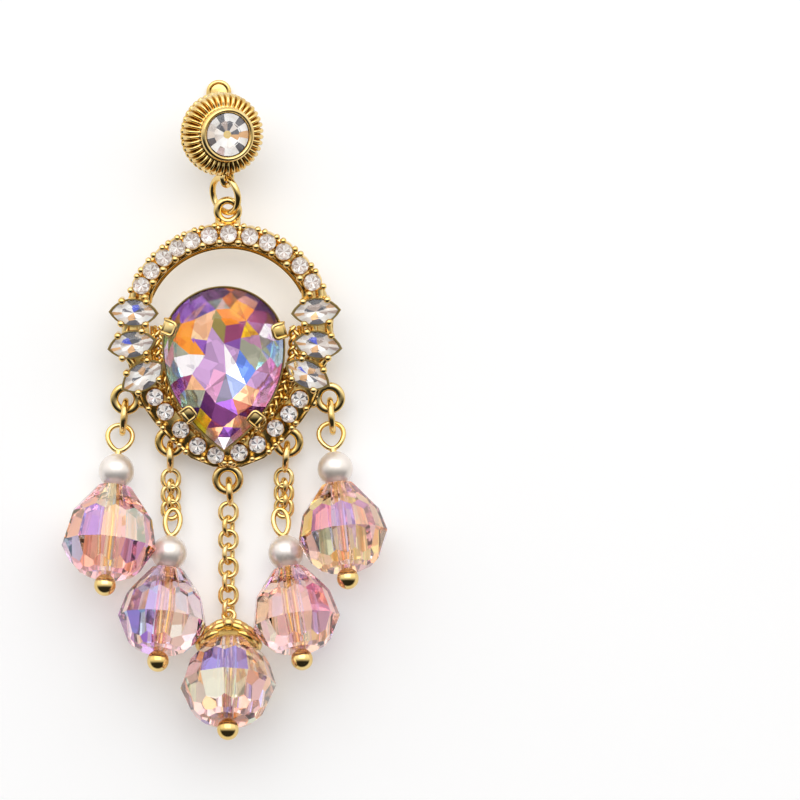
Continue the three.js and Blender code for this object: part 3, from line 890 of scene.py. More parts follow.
def marquiseStone(accents):
    outline = marquiseOutline(marquiseLook["length"] * 0.985, marquiseLook["width"] * 0.985)
    bm = blank(outline, 0.5, 5)
    halfLength, halfWidth = marquiseLook["length"] / 2, marquiseLook["width"] / 2
    cut = marquiseCut

    def reach(out):
        return hypot(halfLength * out.x, halfWidth * out.y) * 0.96

    inner = [accents.get(i, name) for i, name in enumerate(marquiseInner)]
    depth = cut["girdle"] - cut["culet"]
    bend = (0.5, 0.4)
    ringOfFacets(bm, reach, marquiseOuter, 0.5, (bend, (1, 1)), cut["culet"], depth)
    ringOfFacets(bm, reach, inner, 0.25, ((0, 0), bend), cut["culet"], depth)
    rise = cut["table"] - cut["girdleTop"]
    crownFacets(bm, reach, 8, 0.5, cut["girdleTop"], rise, cut["tableShare"], 1.04)
    crownFacets(bm, reach, 8, 0, cut["girdleTop"] + 0.08, rise * 0.72, cut["tableShare"], 1.04)
    grind(bm, Vector((0, 0, cut["table"])), Vector((0, 0, 1)))
    return template(bm)


def makeMarquiseStones():
    bm, finish = stonePiece("marquiseStones", nodesNamed("marquise"))
    for (x, y, turn), accents in zip(marquisePlaces, marquiseAccents):
        addCopy(bm, marquiseStone(accents), at(x, y, 0, turn))
    finish()


makeRoundStones()
makeMarquiseStones()
print("clear stones made")


# The cut of the pear stone, from its culet
pearLook = {
    "x": -0.36,
    "y": -1.25,
    "halfWidth": 6.6,
    "topHeight": 6.25,
    "tipLength": 11.65,
    "sideCurve": 2.35,
    "culet": 1.5,
    "girdle": 3.5,
    "girdleTop": 3.66,
    "table": 5.2,
    "tableShare": 0.52,
}
# The pear's back facets: partly its rainbow coat, partly painted reflections; white is a painted highlight
# and slate a painted dark reflection
pearTints = {
    "plum": (0.10, 0.02, 0.10, 1),
    "brown": (0.28, 0.10, 0.06, 1),
    "wine": (0.34, 0.07, 0.17, 1),
    "violet": (0.26, 0.10, 0.43, 1),
    "lilac": (0.58, 0.37, 0.64, 1),
    "mauve": (0.50, 0.26, 0.40, 1),
    "pink": (0.92, 0.45, 0.55, 1),
    "orange": (1.0, 0.30, 0.03, 1),
    "peach": (0.98, 0.55, 0.30, 1),
    "yellow": (1.0, 0.58, 0.02, 1),
    "olive": (0.34, 0.28, 0.08, 1),
    "sage": (0.38, 0.40, 0.30, 1),
    "cream": (0.95, 0.90, 0.62, 1),
    "cyan": (0.40, 0.85, 1.0, 1),
    "blue": (0.16, 0.30, 0.90, 1),
    "slate": (0.12, 0.12, 0.16, 1),
    "white": (1.0, 0.97, 1.0, 1),
    "tan": (0.70, 0.40, 0.22, 1),
    "steel": (0.20, 0.26, 0.42, 1),
}
# Rows of facet corners, from the culet out: how many, where they start, and their shares of width and depth
pearCorners = [
    (9, 0.2, 0.3, 0.2),
    (14, 0.6, 0.57, 0.46),
    (20, 0.1, 0.79, 0.7),
    (28, 0.5, 0.92, 0.89),
    (36, 0.0, 1.0, 1.0),
]
pearScatter = 0.3  # mm, how far the inner corners stray
# Where each colour shows, in millimetres from the culet
pearPatches = [
    (0.5, 1.6, "wine"), (2.7, 0.9, "yellow"), (2.5, 2.0, "yellow"), (0.9, 3.4, "orange"),
    (2.4, 2.7, "brown"), (1.8, 3.4, "orange"), (-0.2, 4.2, "cream"), (-0.9, 3.6, "sage"),
    (-1.0, 1.8, "olive"), (-1.9, 2.6, "peach"), (-2.8, 3.0, "lilac"), (-3.6, 3.7, "violet"),
    (-2.1, 4.4, "violet"), (-1.4, -0.2, "lilac"), (-2.0, -0.8, "violet"), (-3.9, 1.4, "orange"),
    (-3.1, 0.9, "white"), (-2.6, 1.6, "peach"), (-3.4, -0.2, "orange"), (1.2, 0.2, "violet"),
    (3.6, -0.2, "sage"), (3.5, 0.9, "mauve"), (5.8, -0.2, "cyan"), (5.4, 1.0, "white"),
    (4.8, -1.5, "cyan"), (1.0, -0.9, "lilac"), (1.2, -2.4, "white"), (2.1, -2.6, "blue"),
    (1.3, -4.3, "steel"), (0.9, -5.4, "slate"), (3.2, -2.7, "sage"), (-1.2, -2.2, "lilac"),
    (-0.6, -4.4, "mauve"), (-2.0, -3.4, "lilac"), (-1.2, -5.4, "pink"), (-4.0, -2.2, "white"),
    (-4.8, -1.6, "sage"), (-5.6, 0.4, "olive"), (-5.6, -0.9, "pink"), (-5.1, -3.4, "sage"),
    (-4.3, -4.6, "wine"), (-3.3, -5.4, "sage"), (-3.0, -4.2, "peach"), (-2.4, -6.6, "plum"),
    (4.2, -3.8, "lilac"), (5.3, -3.0, "mauve"), (2.6, -5.4, "tan"), (3.8, -5.4, "mauve"),
    (1.9, -6.6, "brown"), (-0.9, -7.0, "plum"), (0.6, -6.9, "violet"), (0.2, -8.2, "plum"),
    (-0.4, -8.9, "wine"), (-2.0, -8.6, "yellow"), (-1.4, -9.6, "tan"), (0.5, -9.9, "violet"),
    (1.6, -8.8, "tan"), (1.4, -9.8, "pink"), (0.0, -10.9, "white"), (2.8, -7.4, "plum"),
    (-0.8, 5.4, "plum"), (0.7, 5.2, "orange"), (1.6, 5.6, "brown"), (2.4, 4.7, "tan"),
    (3.9, 4.2, "plum"), (3.6, 3.2, "wine"), (-2.4, 5.6, "plum"), (3.2, 5.4, "plum"),
    (5.0, 3.2, "plum"), (5.0, 2.2, "brown"),
]


def pearOutline():
    look = pearLook
    steps = 48
    top = [
        (look["halfWidth"] * cos(pi * i / steps), look["topHeight"] * sin(pi * i / steps))
        for i in range(steps)
    ]
    half = steps // 2
    side = [
        (-look["halfWidth"] * (1 - (i / half) ** look["sideCurve"]), -look["tipLength"] * i / half)
        for i in range(half)
    ]
    other = [(-x, y) for x, y in side[1:]][::-1]
    return top + side + [(0, -look["tipLength"])] + other


def evenly(outline, count, start):
    # Points spaced evenly round an outline, start being a share of one step.
    sides = list(zip(outline, outline[1:] + outline[:1]))
    lengths = [hypot(b[0] - a[0], b[1] - a[1]) for a, b in sides]
    points = []
    for i in range(count):
        left = (i + start) / count * sum(lengths)
        for (a, b), length in zip(sides, lengths):
            if left <= length:
                points.append((a[0] + (b[0] - a[0]) * left / length, a[1] + (b[1] - a[1]) * left / length))
                break
            left -= length
    return points


def makePearStone():
    # The pavilion is rows of corners joined by triangles. The crown is ground from the block above it.
    look = pearLook
    tip = (0, -look["tipLength"])
    outline = pearOutline()
    outline = outline[outline.index(tip) :] + outline[: outline.index(tip)]
    depth = look["girdle"] - look["culet"]
    bm = bmesh.new()
    tints = bm.loops.layers.float_color.new("tint")
    loops = []
    for count, start, share, drop in pearCorners:
        stray = pearScatter if share < 0.8 else 0
        row = []
        for x, y in evenly(outline, count, start):
            shiftX, shiftY = random.uniform(-stray, stray), random.uniform(-stray, stray)
            height = look["culet"] + depth * drop + random.uniform(-stray, stray) * 0.15
            row.append(bm.verts.new((x * share + shiftX, y * share + shiftY, height)))
        loops.append([bm.edges.new(pair) for pair in zip(row, row[1:] + row[:1])])
    middle = bmesh.ops.edgeloop_fill(bm, edges=loops[0])["faces"]
    culet = bmesh.ops.poke(bm, faces=middle)["verts"][0]
    culet.co = Vector((0, 0, look["culet"]))
    for near, far in zip(loops, loops[1:]):
        bmesh.ops.bridge_loops(bm, edges=near + far)
    bmesh.ops.triangulate(bm, faces=bm.faces[:])
    grown = bmesh.ops.extrude_edge_only(bm, edges=loops[-1])["geom"]
    upper = [item for item in grown if isinstance(item, bmesh.types.BMVert)]
    rim = [
        item
        for item in grown
        if isinstance(item, bmesh.types.BMEdge) and all(vert in upper for vert in item.verts)
    ]
    bmesh.ops.translate(bm, verts=upper, vec=(0, 0, 3))
    bmesh.ops.edgeloop_fill(bm, edges=rim)
    bmesh.ops.recalc_face_normals(bm, faces=bm.faces[:])
    for face in bm.faces:
        centre = face.calc_center_median()
        foil = centre.z < look["girdle"] - 0.01
        face.material_index = int(foil)
        nearest = min(pearPatches, key=lambda patch: hypot(patch[0] - centre.x, patch[1] - centre.y))
        for loop in face.loops:
            loop[tints] = pearTints[nearest[2]] if foil else (1, 1, 1, 0)

    def reach(out):
        return max(x * out.x + y * out.y for x, y in outline)

    rise = look["table"] - look["girdleTop"]
    crownFacets(bm, reach, 20, 0.5, look["girdleTop"], rise * 1.35, look["tableShare"])
    crownFacets(bm, reach, 12, 0.5, look["girdleTop"] + 0.2, rise * 0.95, look["tableShare"])
    crownFacets(bm, reach, 12, 0, look["girdleTop"] + 0.42, rise * 0.68, look["tableShare"])
    grind(bm, Vector((0, 0, look["table"])), Vector((0, 0, 1)))
    place = inFrame @ at(look["x"], look["y"])
    finishPiece("pearStone", bm, [lilacCrown, lilacFoil], ["pear_stone"], place)


# The wall of the open cup, up its outside and down its inside: share of the stone's outline, and height
settingWall = [(0.86, 0.6), (0.93, 1.7), (1.035, 3.3), (1.03, 3.42), (1.01, 3.42), (0.9, 2.2), (0.8, 1.2)]
tabLook = {
    "width": 1.5,
    "thick": 0.42,
    "reach": 1.45,
    "foot": 2.2,
    "top": 4.6,
    "gap": 0.1,  # from the outline of the stone
    "edge": 0.1,
    "rim": 0.2,
    "corner": 0.4,
}
# degrees round the stone, size, and how far the lip slopes down over the stone
tabs = [(161, 1.0, 18), (14, 1.0, 18), (243.5, 0.95, 4), (295, 0.95, 4)]


def makePearSetting():
    outline = pearOutline()
    bm = bmesh.new()
    addLoft(bm, outline, settingWall)
    closeSeams(bm, 0.0005)
    for degreesRound, size, slope in tabs:
        aim = Vector((cos(radians(degreesRound)), sin(radians(degreesRound))))
        nearest = max(range(len(outline)), key=lambda i: aim.dot(Vector(outline[i]).normalized()))
        before, here = Vector(outline[nearest - 1]), Vector(outline[nearest])
        after = Vector(outline[(nearest + 1) % len(outline)])
        facing = atan2(before.x - after.x, after.y - before.y)
        place = Matrix.Translation((here.x, here.y, 0)) @ Matrix.Rotation(facing, 4, "Z")
        width, thick, reach = (tabLook[key] * size for key in ("width", "thick", "reach"))
        top, half, gap, edge = tabLook["top"], width / 2, tabLook["gap"], tabLook["edge"]
        upright = Matrix.Translation((gap + thick / 2, 0, (tabLook["foot"] + top) / 2))
        upright = upright @ Matrix.Diagonal((thick, width, top - tabLook["foot"], 1))
        lean = place @ at(gap + thick, 0, top - edge) @ Matrix.Rotation(radians(slope), 4, "Y")
        lip = lean @ at(-reach / 2, 0, -edge) @ Matrix.Diagonal((reach, width, thick * 0.6, 1))
        for shape in (place @ upright, lip):
            cube = bmesh.ops.create_cube(bm, size=1, matrix=shape)["verts"]
            edges = list({edge for vert in cube for edge in vert.link_edges})
            bmesh.ops.bevel(bm, geom=edges, offset=edge, segments=2, profile=0.5, affect="EDGES", material=-1)
        # a raised rim runs round the lip and down the outer side
        corner = tabLook["corner"] * size
        rim = [Vector((0.05, -half, -1.6)), Vector((0.05, -half, -0.3)), Vector((-0.15, -half, 0))]
        rim += [
            Vector((-reach + corner - corner * sin(turn), (-half + corner - corner * cos(turn)), 0))
            for turn in (0, pi / 6, pi / 3, pi / 2)
        ]
        rim += [Vector((point.x, -point.y, point.z)) for point in rim[::-1]]
        addWire(bm, [lean @ point for point in rim], tabLook["rim"] * size, 10)
    place = inFrame @ at(pearLook["x"], pearLook["y"])
    finishPiece("pearSetting", bm, [polishedGold], ["pear_setting"], place, 40)


makePearStone()
makePearSetting()
print("pear stone made")


# The rosette and the loop below it
rosetteLook = {
    "x": -0.27,
    "y": 21.62,
    "z": 8.15,
    "leanRight": 17.0,
    "leanDown": 4.0,
    "lobes": 40,
    "fluteDrop": 1.4,  # how far a flute's gap sinks and draws in, for each unit of its depth
    "fluteDraw": 0.8,
    "gap": {"inner": 3.2, "bottom": -0.8, "from": 0.7},  # where the gaps between flutes get painted shade
    "loop": {"x": 0.66, "y": -4.85, "z": -1.3, "mean": 0.88, "wire": 0.32, "turn": 38.5},
}
rosettePlace = (
    toMetres
    @ Matrix.Translation((rosetteLook["x"], rosetteLook["y"], rosetteLook["z"]))
    @ Matrix.Rotation(radians(rosetteLook["leanDown"]), 4, "X")
    @ Matrix.Rotation(radians(rosetteLook["leanRight"]), 4, "Y")
)
# radius, height and depth of the flutes for each row of the disc, from its middle outwards
discRows = [
    (2.9, 0.85, 0.0),
    (3.12, 0.80, 0.0),
    (3.2, 0.80, 0.2),
    (3.45, 0.84, 0.34),
    (3.85, 0.78, 0.42),
    (4.2, 0.62, 0.46),
    (4.42, 0.36, 0.44),
    (4.56, 0.0, 0.36),
    (4.6, -0.4, 0.3),
    (4.5, -0.75, 0.25),
    (4.3, -0.9, 0.1),
    (4.35, -1.0, 0.1),
    (4.6, -1.1, 0.22),
    (4.68, -1.3, 0.25),
    (4.6, -1.58, 0.2),
    (0, -1.6, 0.0),
]
# radius and height for each row of the bezel in its middle
bezelRows = [
    (3.0, 0.6),
    (3.07, 0.9),
    (3.08, 1.3),
    (3.03, 1.52),
    (2.93, 1.68),
    (2.8, 1.77),
    (2.67, 1.79),
    (2.56, 1.74),
    (2.48, 1.64),
    (2.44, 1.5),
    (2.42, 1.35),
    (1.2, 0.2),
    (0, 0.05),
]


def makeRosette():
    bm = bmesh.new()
    lobes = rosetteLook["lobes"]
    flat = [(radius, height) for radius, height, _ in discRows]
    made = addTurned(bm, [(0, 0.85)] + flat, lobes * 6)
    depths = {(round(radius, 3), round(height, 3)): depth for radius, height, depth in discRows}
    for vert in made:
        radius = hypot(vert.co.x, vert.co.y)
        depth = depths.get((round(radius, 3), round(vert.co.z, 3)), 0)
        if depth:
            across = (lobes * atan2(vert.co.y, vert.co.x) / pi) % 2 - 1
            wave = 1 - sqrt(max(0, 1 - across**2))
            vert.co.z -= depth * wave * rosetteLook["fluteDrop"]
            vert.co.x *= 1 - depth * wave * rosetteLook["fluteDraw"] / radius
            vert.co.y *= 1 - depth * wave * rosetteLook["fluteDraw"] / radius
    gap = rosetteLook["gap"]
    for face in bm.faces:
        middle = face.calc_center_median()
        across = (lobes * atan2(middle.y, middle.x) / pi) % 2 - 1
        fluted = hypot(middle.x, middle.y) > gap["inner"] and middle.z > gap["bottom"]
        # the gaps between the flutes take the second finish, a painted shade
        face.material_index = int(fluted and abs(across) > gap["from"])
    addTurned(bm, bezelRows, 64)
    closeSeams(bm, 0.0005)
    loop = rosetteLook["loop"]
    turn = Matrix.Rotation(radians(loop["turn"]), 4, "Y")
    addRing(bm, loop["mean"], loop["wire"], Matrix.Translation((loop["x"], loop["y"], loop["z"])) @ turn)
    bmesh.ops.recalc_face_normals(bm, faces=bm.faces[:])
    finishPiece("rosetteDisc", bm, [polishedGold, paintedShadeGold], ["rosette"], rosettePlace, 42)


rosetteCut = {
    "radius": 2.36,
    "girdle": 1.5,
    "girdleTop": 1.6,
    "table": 2.15,
    "tableShare": 0.56,
    "culet": 0.75,
}
# The back facets of its stone, one after the other, each tint a painted reflection
rosetteInner = [
    "slate", "pale", "slate", "dusk", "slate", "bright",
    "pale", "bright", "bright", "pale", "bright", "sand",
]
rosetteOuter = [
    "sand", "bright", "slate", "bright", "bright", "slate", "bright", "pale",
    "bright", "slate", "bright", "dusk", "bright", "bright", "slate", "bright",
]


def makeRosetteStone():
    cut = rosetteCut
    bm = blank(circle(cut["radius"], 48), -1, 4)

    def reach(out):
        return cut["radius"]

    depth = cut["girdle"] - cut["culet"]
    bend = (0.56, 0.4)
    ringOfFacets(bm, reach, rosetteOuter, 0, (bend, (1, 1)), cut["culet"], depth)
    ringOfFacets(bm, reach, rosetteInner, 0.5, ((0, 0), bend), cut["culet"], depth)
    rise = cut["table"] - cut["girdleTop"]
    crownFacets(bm, reach, 16, 0.5, cut["girdleTop"], rise, cut["tableShare"], 0.99)
    grind(bm, Vector((0, 0, cut["table"])), Vector((0, 0, 1)))
    finishPiece("rosetteStone", bm, [clearCrown, clearFoil], ["rosette_stone"], rosettePlace)


topRingLook = {"x": -0.2, "y": 14.99, "z": 5.56, "mean": 2.02, "wire": 0.37, "rise": 21.4, "twist": -44.8}


def makeTopRing():
    look = topRingLook
    bm = bmesh.new()
    place = (
        Matrix.Translation((look["x"], look["y"], look["z"]))
        @ Matrix.Rotation(radians(look["rise"]), 4, "X")
        @ Matrix.Rotation(radians(look["twist"]), 4, "Y")
    )
    addRing(bm, look["mean"], look["wire"], place, 0, 64, 16)
    closeSeams(bm)
    finishPiece("topRing", bm, [polishedGold], ["top_ring"], toMetres, 60)


clipLook = {
    "x": -1.03,
    "width": 2.7,
    "tip": 27.9,
    "hinge": 17.95,
    "padEnd": 24.6,
    "padBottom": 5.1,
    "padTop": 5.85,
    "strap": 0.5,
    "strapBottom": 0.02,
    "bendReach": 0.9,
    "rim": 0.26,
    "rimInset": 0.2,
    "bendWire": 0.4,
}


def tipArc(radius, centre):
    steps = 20
    return [(radius * cos(pi * i / steps), centre + radius * sin(pi * i / steps)) for i in range(steps + 1)]


def makeClip():
    # Seen from the side the clip is one bent strip. Its tip is round, with a raised rim.
    look = clipLook
    half = look["width"] / 2
    tip, hinge, foot = look["tip"] - half, look["hinge"], look["hinge"] + look["bendReach"]
    bm = bmesh.new()
    addPlate(bm, [(-half, foot), (half, foot)] + tipArc(half, tip), look["strapBottom"], look["strap"], 0.08)
    rimHalf = half - look["rimInset"]
    rim = [(rimHalf, hinge + 1.4)] + tipArc(rimHalf, tip) + [(-rimHalf, hinge + 1.4)]
    addWire(bm, [Vector((x, y, look["strap"])) for x, y in rim], look["rim"], 10)
    pad = [(-half, foot), (half, foot), (half, look["padEnd"]), (-half, look["padEnd"])]
    addPlate(bm, pad, look["padBottom"], look["padTop"], 0.1)
    # three stout wires bend from the strap up to the pad
    middle, wire = (look["padTop"] + look["strapBottom"]) / 2, look["bendWire"]
    for x in (-half + 0.35, 0, half - 0.35):
        bend = []
        for i in range(13):
            angle = pi * i / 12
            bend.append(Vector((x, hinge + 1.25 - 0.85 * sin(angle), middle - (middle - wire) * cos(angle))))
        addWire(bm, bend, wire, 12)
    finishPiece("earClip", bm, [polishedGold], ["ear_clip"], toMetres @ at(look["x"], 0), 40)


makeRosette()
makeRosetteStone()
makeTopRing()
makeClip()
print("rosette and clip made")


# The outside of a bead: place along the thread and distance from it
beadRows = [
    (5.88, 1.75),
    (4.6, 2.95),
    (3.1, 4.15),
    (1.5, 4.95),
    (0, 5.25),
    (-1.4, 4.95),
    (-2.8, 4),
    (-3.8, 2.95),
    (-4.25, 2.1),
]
# flatter: a row of facets is narrower at its middles than at its corners
beadLook = {"bore": 0.62, "columns": 12, "block": 6.2, "flatter": 0.976, "restTilt": 15.8, "capTilt": 26.0}
# Each row of facets: its ends as (place along the thread, distance from it), and its turn in columns.
# The place 0 moves to the drop's own waist.
facetRows = {
    "top": ((5.88, 1.95), (2.7, 4.42), 0.5),
    "upper": ((2.7, 4.46), (0, 5.28), 0.0),
    "lower": ((0, 5.28), (-2.9, 4.1), 0.0),
    "foot": ((-2.9, 4.2), (-3.95, 3.1), 0.5),
    "end": ((-3.95, 3.1), (-4.25, 2.3), 0.0),
}
pinLook = {"radius": 0.36, "ball": 1.22, "gap": 0.04}
pearlLook = {"radius": 1.98, "bore": 0.5, "gap": 0.03}
capRows = [(4.4, 3.75), (5.4, 3.5), (6.45, 2.8), (7.2, 1.75)]  # the outside of the cap, as for the bead
# Where each drop lies, its lean in degrees, and the colours of the facets that face up, from left to right
drops = [
    {
        "name": "OuterLeft", "node": "outer_left",
        "x": -13.04, "y": -23.17, "lean": -5.25, "size": 1, "eye": "round", "waist": -1.0, "spin": 0.2,
        "top": ["rose", "amber", "sage", "mauve", "mauve", "rose"],
        "upper": ["mauve", "amber", "violet", "amber", "sage", "mauve"],
        "lower": ["violet", "blue", "orange", "amber", "violet", "amber"],
        "foot": ["mauve", "orange", "amber", "yellow", "orange", "rose"],
        "end": ["mauve", "dusk", "mauve", "rose", "dusk", "mauve"],
    },
    {
        "name": "InnerLeft", "node": "inner_left",
        "x": -7.18, "y": -31.88, "lean": -5.58, "size": 0.93, "eye": "long", "waist": -0.45, "spin": -0.25,
        "top": ["rose", "amber", "lilac", "mauve", "rose", "rose"],
        "upper": ["rose", "mauve", "lilac", "rose", "clear", "pink"],
        "lower": ["lilac", "blue", "white", "amber", "rose", "sage"],
        "foot": ["pink", "amber", "violet", "pink", "peach", "rose"],
        "end": ["mauve", "mauve", "dusk", "pink", "mauve", "dusk"],
    },
    {
        "name": "Middle", "node": "middle",
        "x": 0.14, "y": -39.4, "lean": 0, "size": 1, "eye": "small", "waist": -0.2, "spin": 0.35,
        "top": ["mauve", "amber", "clear", "rose", "sage", "rose"],
        "upper": ["rose", "mauve", "deep", "deep", "sage", "mauve"],
        "lower": ["mauve", "sage", "glare", "sage", "lilac", "white"],
        "foot": ["mauve", "orange", "lilac", "mauve", "lilac", "amber"],
        "end": ["dusk", "mauve", "dusk", "dusk", "mauve", "dusk"],
    },
    {
        "name": "InnerRight", "node": "inner_right",
        "x": 7.57, "y": -31.77, "lean": 8.9, "size": 0.925, "eye": "long", "waist": -0.85, "spin": 0.3,
        "top": ["amber", "clear", "amber", "lilac", "mauve", "rose"],
        "upper": ["rose", "amber", "peach", "mauve", "magenta", "pink"],
        "lower": ["pink", "sage", "amber", "rose", "violet", "peach"],
        "foot": ["rose", "amber", "mauve", "yellow", "orange", "rose"],
        "end": ["mauve", "dusk", "mauve", "amber", "dusk", "mauve"],
    },
    {
        "name": "OuterRight", "node": "outer_right",
        "x": 12.82, "y": -22.64, "lean": 6.7, "size": 0.955, "eye": "round", "waist": -0.35, "spin": 0.1,
        "top": ["mauve", "rose", "clear", "amber", "mauve", "rose"],
        "upper": ["rose", "amber", "magenta", "violet", "pink", "mauve"],
        "lower": ["lilac", "violet", "blue", "lilac", "mauve", "orange"],
        "foot": ["rose", "lilac", "orange", "amber", "white", "orange"],
        "end": ["mauve", "dusk", "mauve", "rose", "dusk", "mauve"],
    },
]
eyes = {
    "round": {"halfLength": 1.5, "halfWidth": 1.5, "wire": 0.29, "beyond": 2.0, "draw": 0.35},
    "long": {"halfLength": 1.5, "halfWidth": 0.88, "wire": 0.3, "beyond": 1.72, "draw": 0.22},
    "small": {"halfLength": 0.62, "halfWidth": 0.62, "wire": 0.26, "beyond": 2.58, "draw": 0.0},
}
coatTints = {
    "rose": (0.97, 0.80, 0.77),
    "clear": (1.0, 0.93, 0.92),
    "orange": (1.0, 0.60, 0.30),
    "amber": (0.96, 0.74, 0.46),
    "peach": (1.0, 0.72, 0.56),
    "yellow": (1.0, 0.92, 0.48),
    "pink": (0.98, 0.60, 0.68),
    "magenta": (0.96, 0.36, 0.72),
    "violet": (0.58, 0.42, 0.94),
    "lilac": (0.86, 0.72, 1.0),
    "blue": (0.46, 0.68, 1.0),
    "deep": (0.30, 0.28, 0.92),
    "sage": (0.86, 0.95, 0.74),
    "white": (1.0, 1.0, 1.0),
    "glare": (1.0, 0.98, 0.80),
    "mauve": (0.79, 0.56, 0.57),
    "dusk": (0.60, 0.40, 0.42),
}
# How strongly the facets that face up shine
coatShine = {
    "rose": 0.05, "clear": 0.03, "amber": 0.14, "peach": 0.14, "pink": 0.14, "mauve": 0.1,
    "magenta": 0.22, "dusk": 0.05, "blue": 0.5, "white": 0.6, "glare": 0.8,
}
coatLook = {
    "shine": 0.3,  # of the colours that coatShine leaves out
    "footShine": 0.02,
    "lowerShare": 0.35,  # the lower facets lean to the dark side of the room
    "underShine": (0.35, 0.9),
    "end": (0.79, 0.56, 0.57, 0.03),
    "bore": (0.98, 0.9, 0.88, 0.05),
}
# How often each colour comes on the facets that face down and are seen through the glass
coatShares = {
    "rose": 11, "clear": 8, "orange": 6, "amber": 11, "peach": 7, "yellow": 5, "pink": 7,
    "magenta": 4, "violet": 4, "lilac": 6, "blue": 2, "sage": 4, "white": 6, "mauve": 10, "dusk": 4,
}


def seatHeight(drop, tilt):
    rise, level = sin(radians(tilt)), cos(radians(tilt))
    bead = [(radius * level + along * rise) * drop["size"] for along, radius in beadRows]
    cap = [radius * level + along * rise for along, radius in capRows] if drop["name"] == "Middle" else []
    return max(bead + cap)


def dropPlace(drop):
    tilt = beadLook["capTilt"] if drop["name"] == "Middle" else beadLook["restTilt"]
    return (
        toMetres
        @ Matrix.Translation((drop["x"], drop["y"], seatHeight(drop, tilt)))
        @ Matrix.Rotation(radians(drop["lean"]), 4, "Z")
        @ Matrix.Rotation(radians(-tilt), 4, "X")
    )


alongThread = Matrix.Rotation(-pi / 2, 4, "X")  # turns a shape's own Z to the thread, the drop's own Y


def facetTint(drop, row, angle):
    turn = angle % (2 * pi) - pi
    if turn <= 0:
        name = random.choices(list(coatShares), list(coatShares.values()))[0]
        return (*coatTints[name], random.uniform(*coatLook["underShine"]))
    name = drop[row][int(turn / pi * len(drop[row]))]
    shine = coatShine.get(name, coatLook["shine"])
    if row == "foot":
        shine = coatLook["footShine"]
    elif row == "lower" and name != "glare":
        shine *= coatLook["lowerShare"]
    return (*coatTints[name], shine)


def makeBead(drop):
    size = drop["size"]
    top, bottom = beadRows[0][0] * size, beadRows[-1][0] * size
    bm = blank(circle(beadLook["block"] * size, 24), bottom, top)
    columns, flatter = beadLook["columns"], beadLook["flatter"]
    for row, ((highAlong, highRadius), (lowAlong, lowRadius), turn) in facetRows.items():
        highAlong, lowAlong = highAlong or drop["waist"], lowAlong or drop["waist"]
        tall, wide = (highAlong - lowAlong) * size, (lowRadius - highRadius) * size * flatter
        for i in range(columns):
            angle = 2 * pi * (i + turn + drop["spin"]) / columns
            out = Vector((cos(angle), sin(angle), 0))
            normal = (out * tall + Vector((0, 0, wide))).normalized()
            point = out * highRadius * size * flatter + Vector((0, 0, highAlong * size))
            grind(bm, point, normal, facetTint(drop, row, angle))
    # the bore: a hole in each end, joined by its wall
    ends = []
    for end in (top, bottom):
        face = min(
            (face for face in bm.faces if abs(face.normal.z) > 0.99),
            key=lambda face: abs(face.calc_center_median().z - end),
        )
        rim = list(face.edges)
        bmesh.ops.delete(bm, geom=[face], context="FACES_ONLY")
        place = at(0, 0, end)
        hole = bmesh.ops.create_circle(bm, segments=16, radius=beadLook["bore"], matrix=place)["verts"]
        holeEdges = list({edge for vert in hole for edge in vert.link_edges})
        bmesh.ops.triangle_fill(bm, edges=rim + holeEdges, use_beauty=True)
        ends.append(holeEdges)
    bmesh.ops.bridge_loops(bm, edges=ends[0] + ends[1])
    closeSeams(bm, 0.0005)
    tints = bm.loops.layers.float_color["tint"]
    for face in bm.faces:
        isBore = all(hypot(vert.co.x, vert.co.y) < beadLook["bore"] * 1.1 for vert in face.verts)
        if isBore or abs(face.normal.z) > 0.99:
            for loop in face.loops:
                loop[tints] = coatLook["bore" if isBore else "end"]
    place = dropPlace(drop) @ alongThread
    finishPiece("bead" + drop["name"], bm, [roseGlass], ["bead_" + drop["node"]], place)


def teardrop(look, centre):
    # The outline of an eye, drawn narrower at its lower end.
    steps = 40
    points = []
    for i in range(steps):
        angle = 2 * pi * i / steps
        narrow = 1 - look["draw"] * (0.5 + 0.5 * cos(angle)) ** 2
        x, y = look["halfWidth"] * sin(angle) * narrow, centre - look["halfLength"] * cos(angle)
        points.append(Vector((x, y, 0)))
    return points


def makeHeadPin(drop):
    size = drop["size"]
    top = beadRows[0][0] * size
    sink = sqrt(pinLook["ball"] ** 2 - beadLook["bore"] ** 2)
    ballCentre = beadRows[-1][0] * size - sink - pinLook["gap"]
    pearl = 0 if drop["name"] == "Middle" else 2 * sqrt(pearlLook["radius"] ** 2 - beadLook["bore"] ** 2)
    look = eyes[drop["eye"]]
    eyeCentre = top + pearl + look["beyond"]
    bm = bmesh.new()
    addWire(bm, teardrop(look, eyeCentre), look["wire"], 12, True)
    shaft = [Vector((0, ballCentre, 0)), Vector((0, eyeCentre - look["halfLength"], 0))]
    addWire(bm, shaft, pinLook["radius"], 16)
    addBall(bm, pinLook["ball"], Matrix.Translation((0, ballCentre, 0)) @ alongThread, 40, 24)
    closeSeams(bm, 0.0005)
    nodes = ["head_pin_" + drop["node"]]
    finishPiece("headPin" + drop["name"], bm, [polishedGold], nodes, dropPlace(drop), 50)


def makePearl(drop):
    bm = bmesh.new()
    radius, hole = pearlLook["radius"], pearlLook["bore"]
    start = atan2(hole, sqrt(radius**2 - hole**2))
    rows = []
    for i in range(25):
        angle = start + (pi - 2 * start) * i / 24
        rows.append((radius * sin(angle), radius * cos(angle)))
    addTurned(bm, rows + [rows[0]], 48)
    closeSeams(bm)
    centre = beadRows[0][0] * drop["size"] + sqrt(radius**2 - beadLook["bore"] ** 2) + pearlLook["gap"]
    place = dropPlace(drop) @ Matrix.Translation((0, centre, 0)) @ alongThread
    finishPiece("pearl" + drop["name"], bm, [nacre], ["pearl_" + drop["node"]], place, 40)


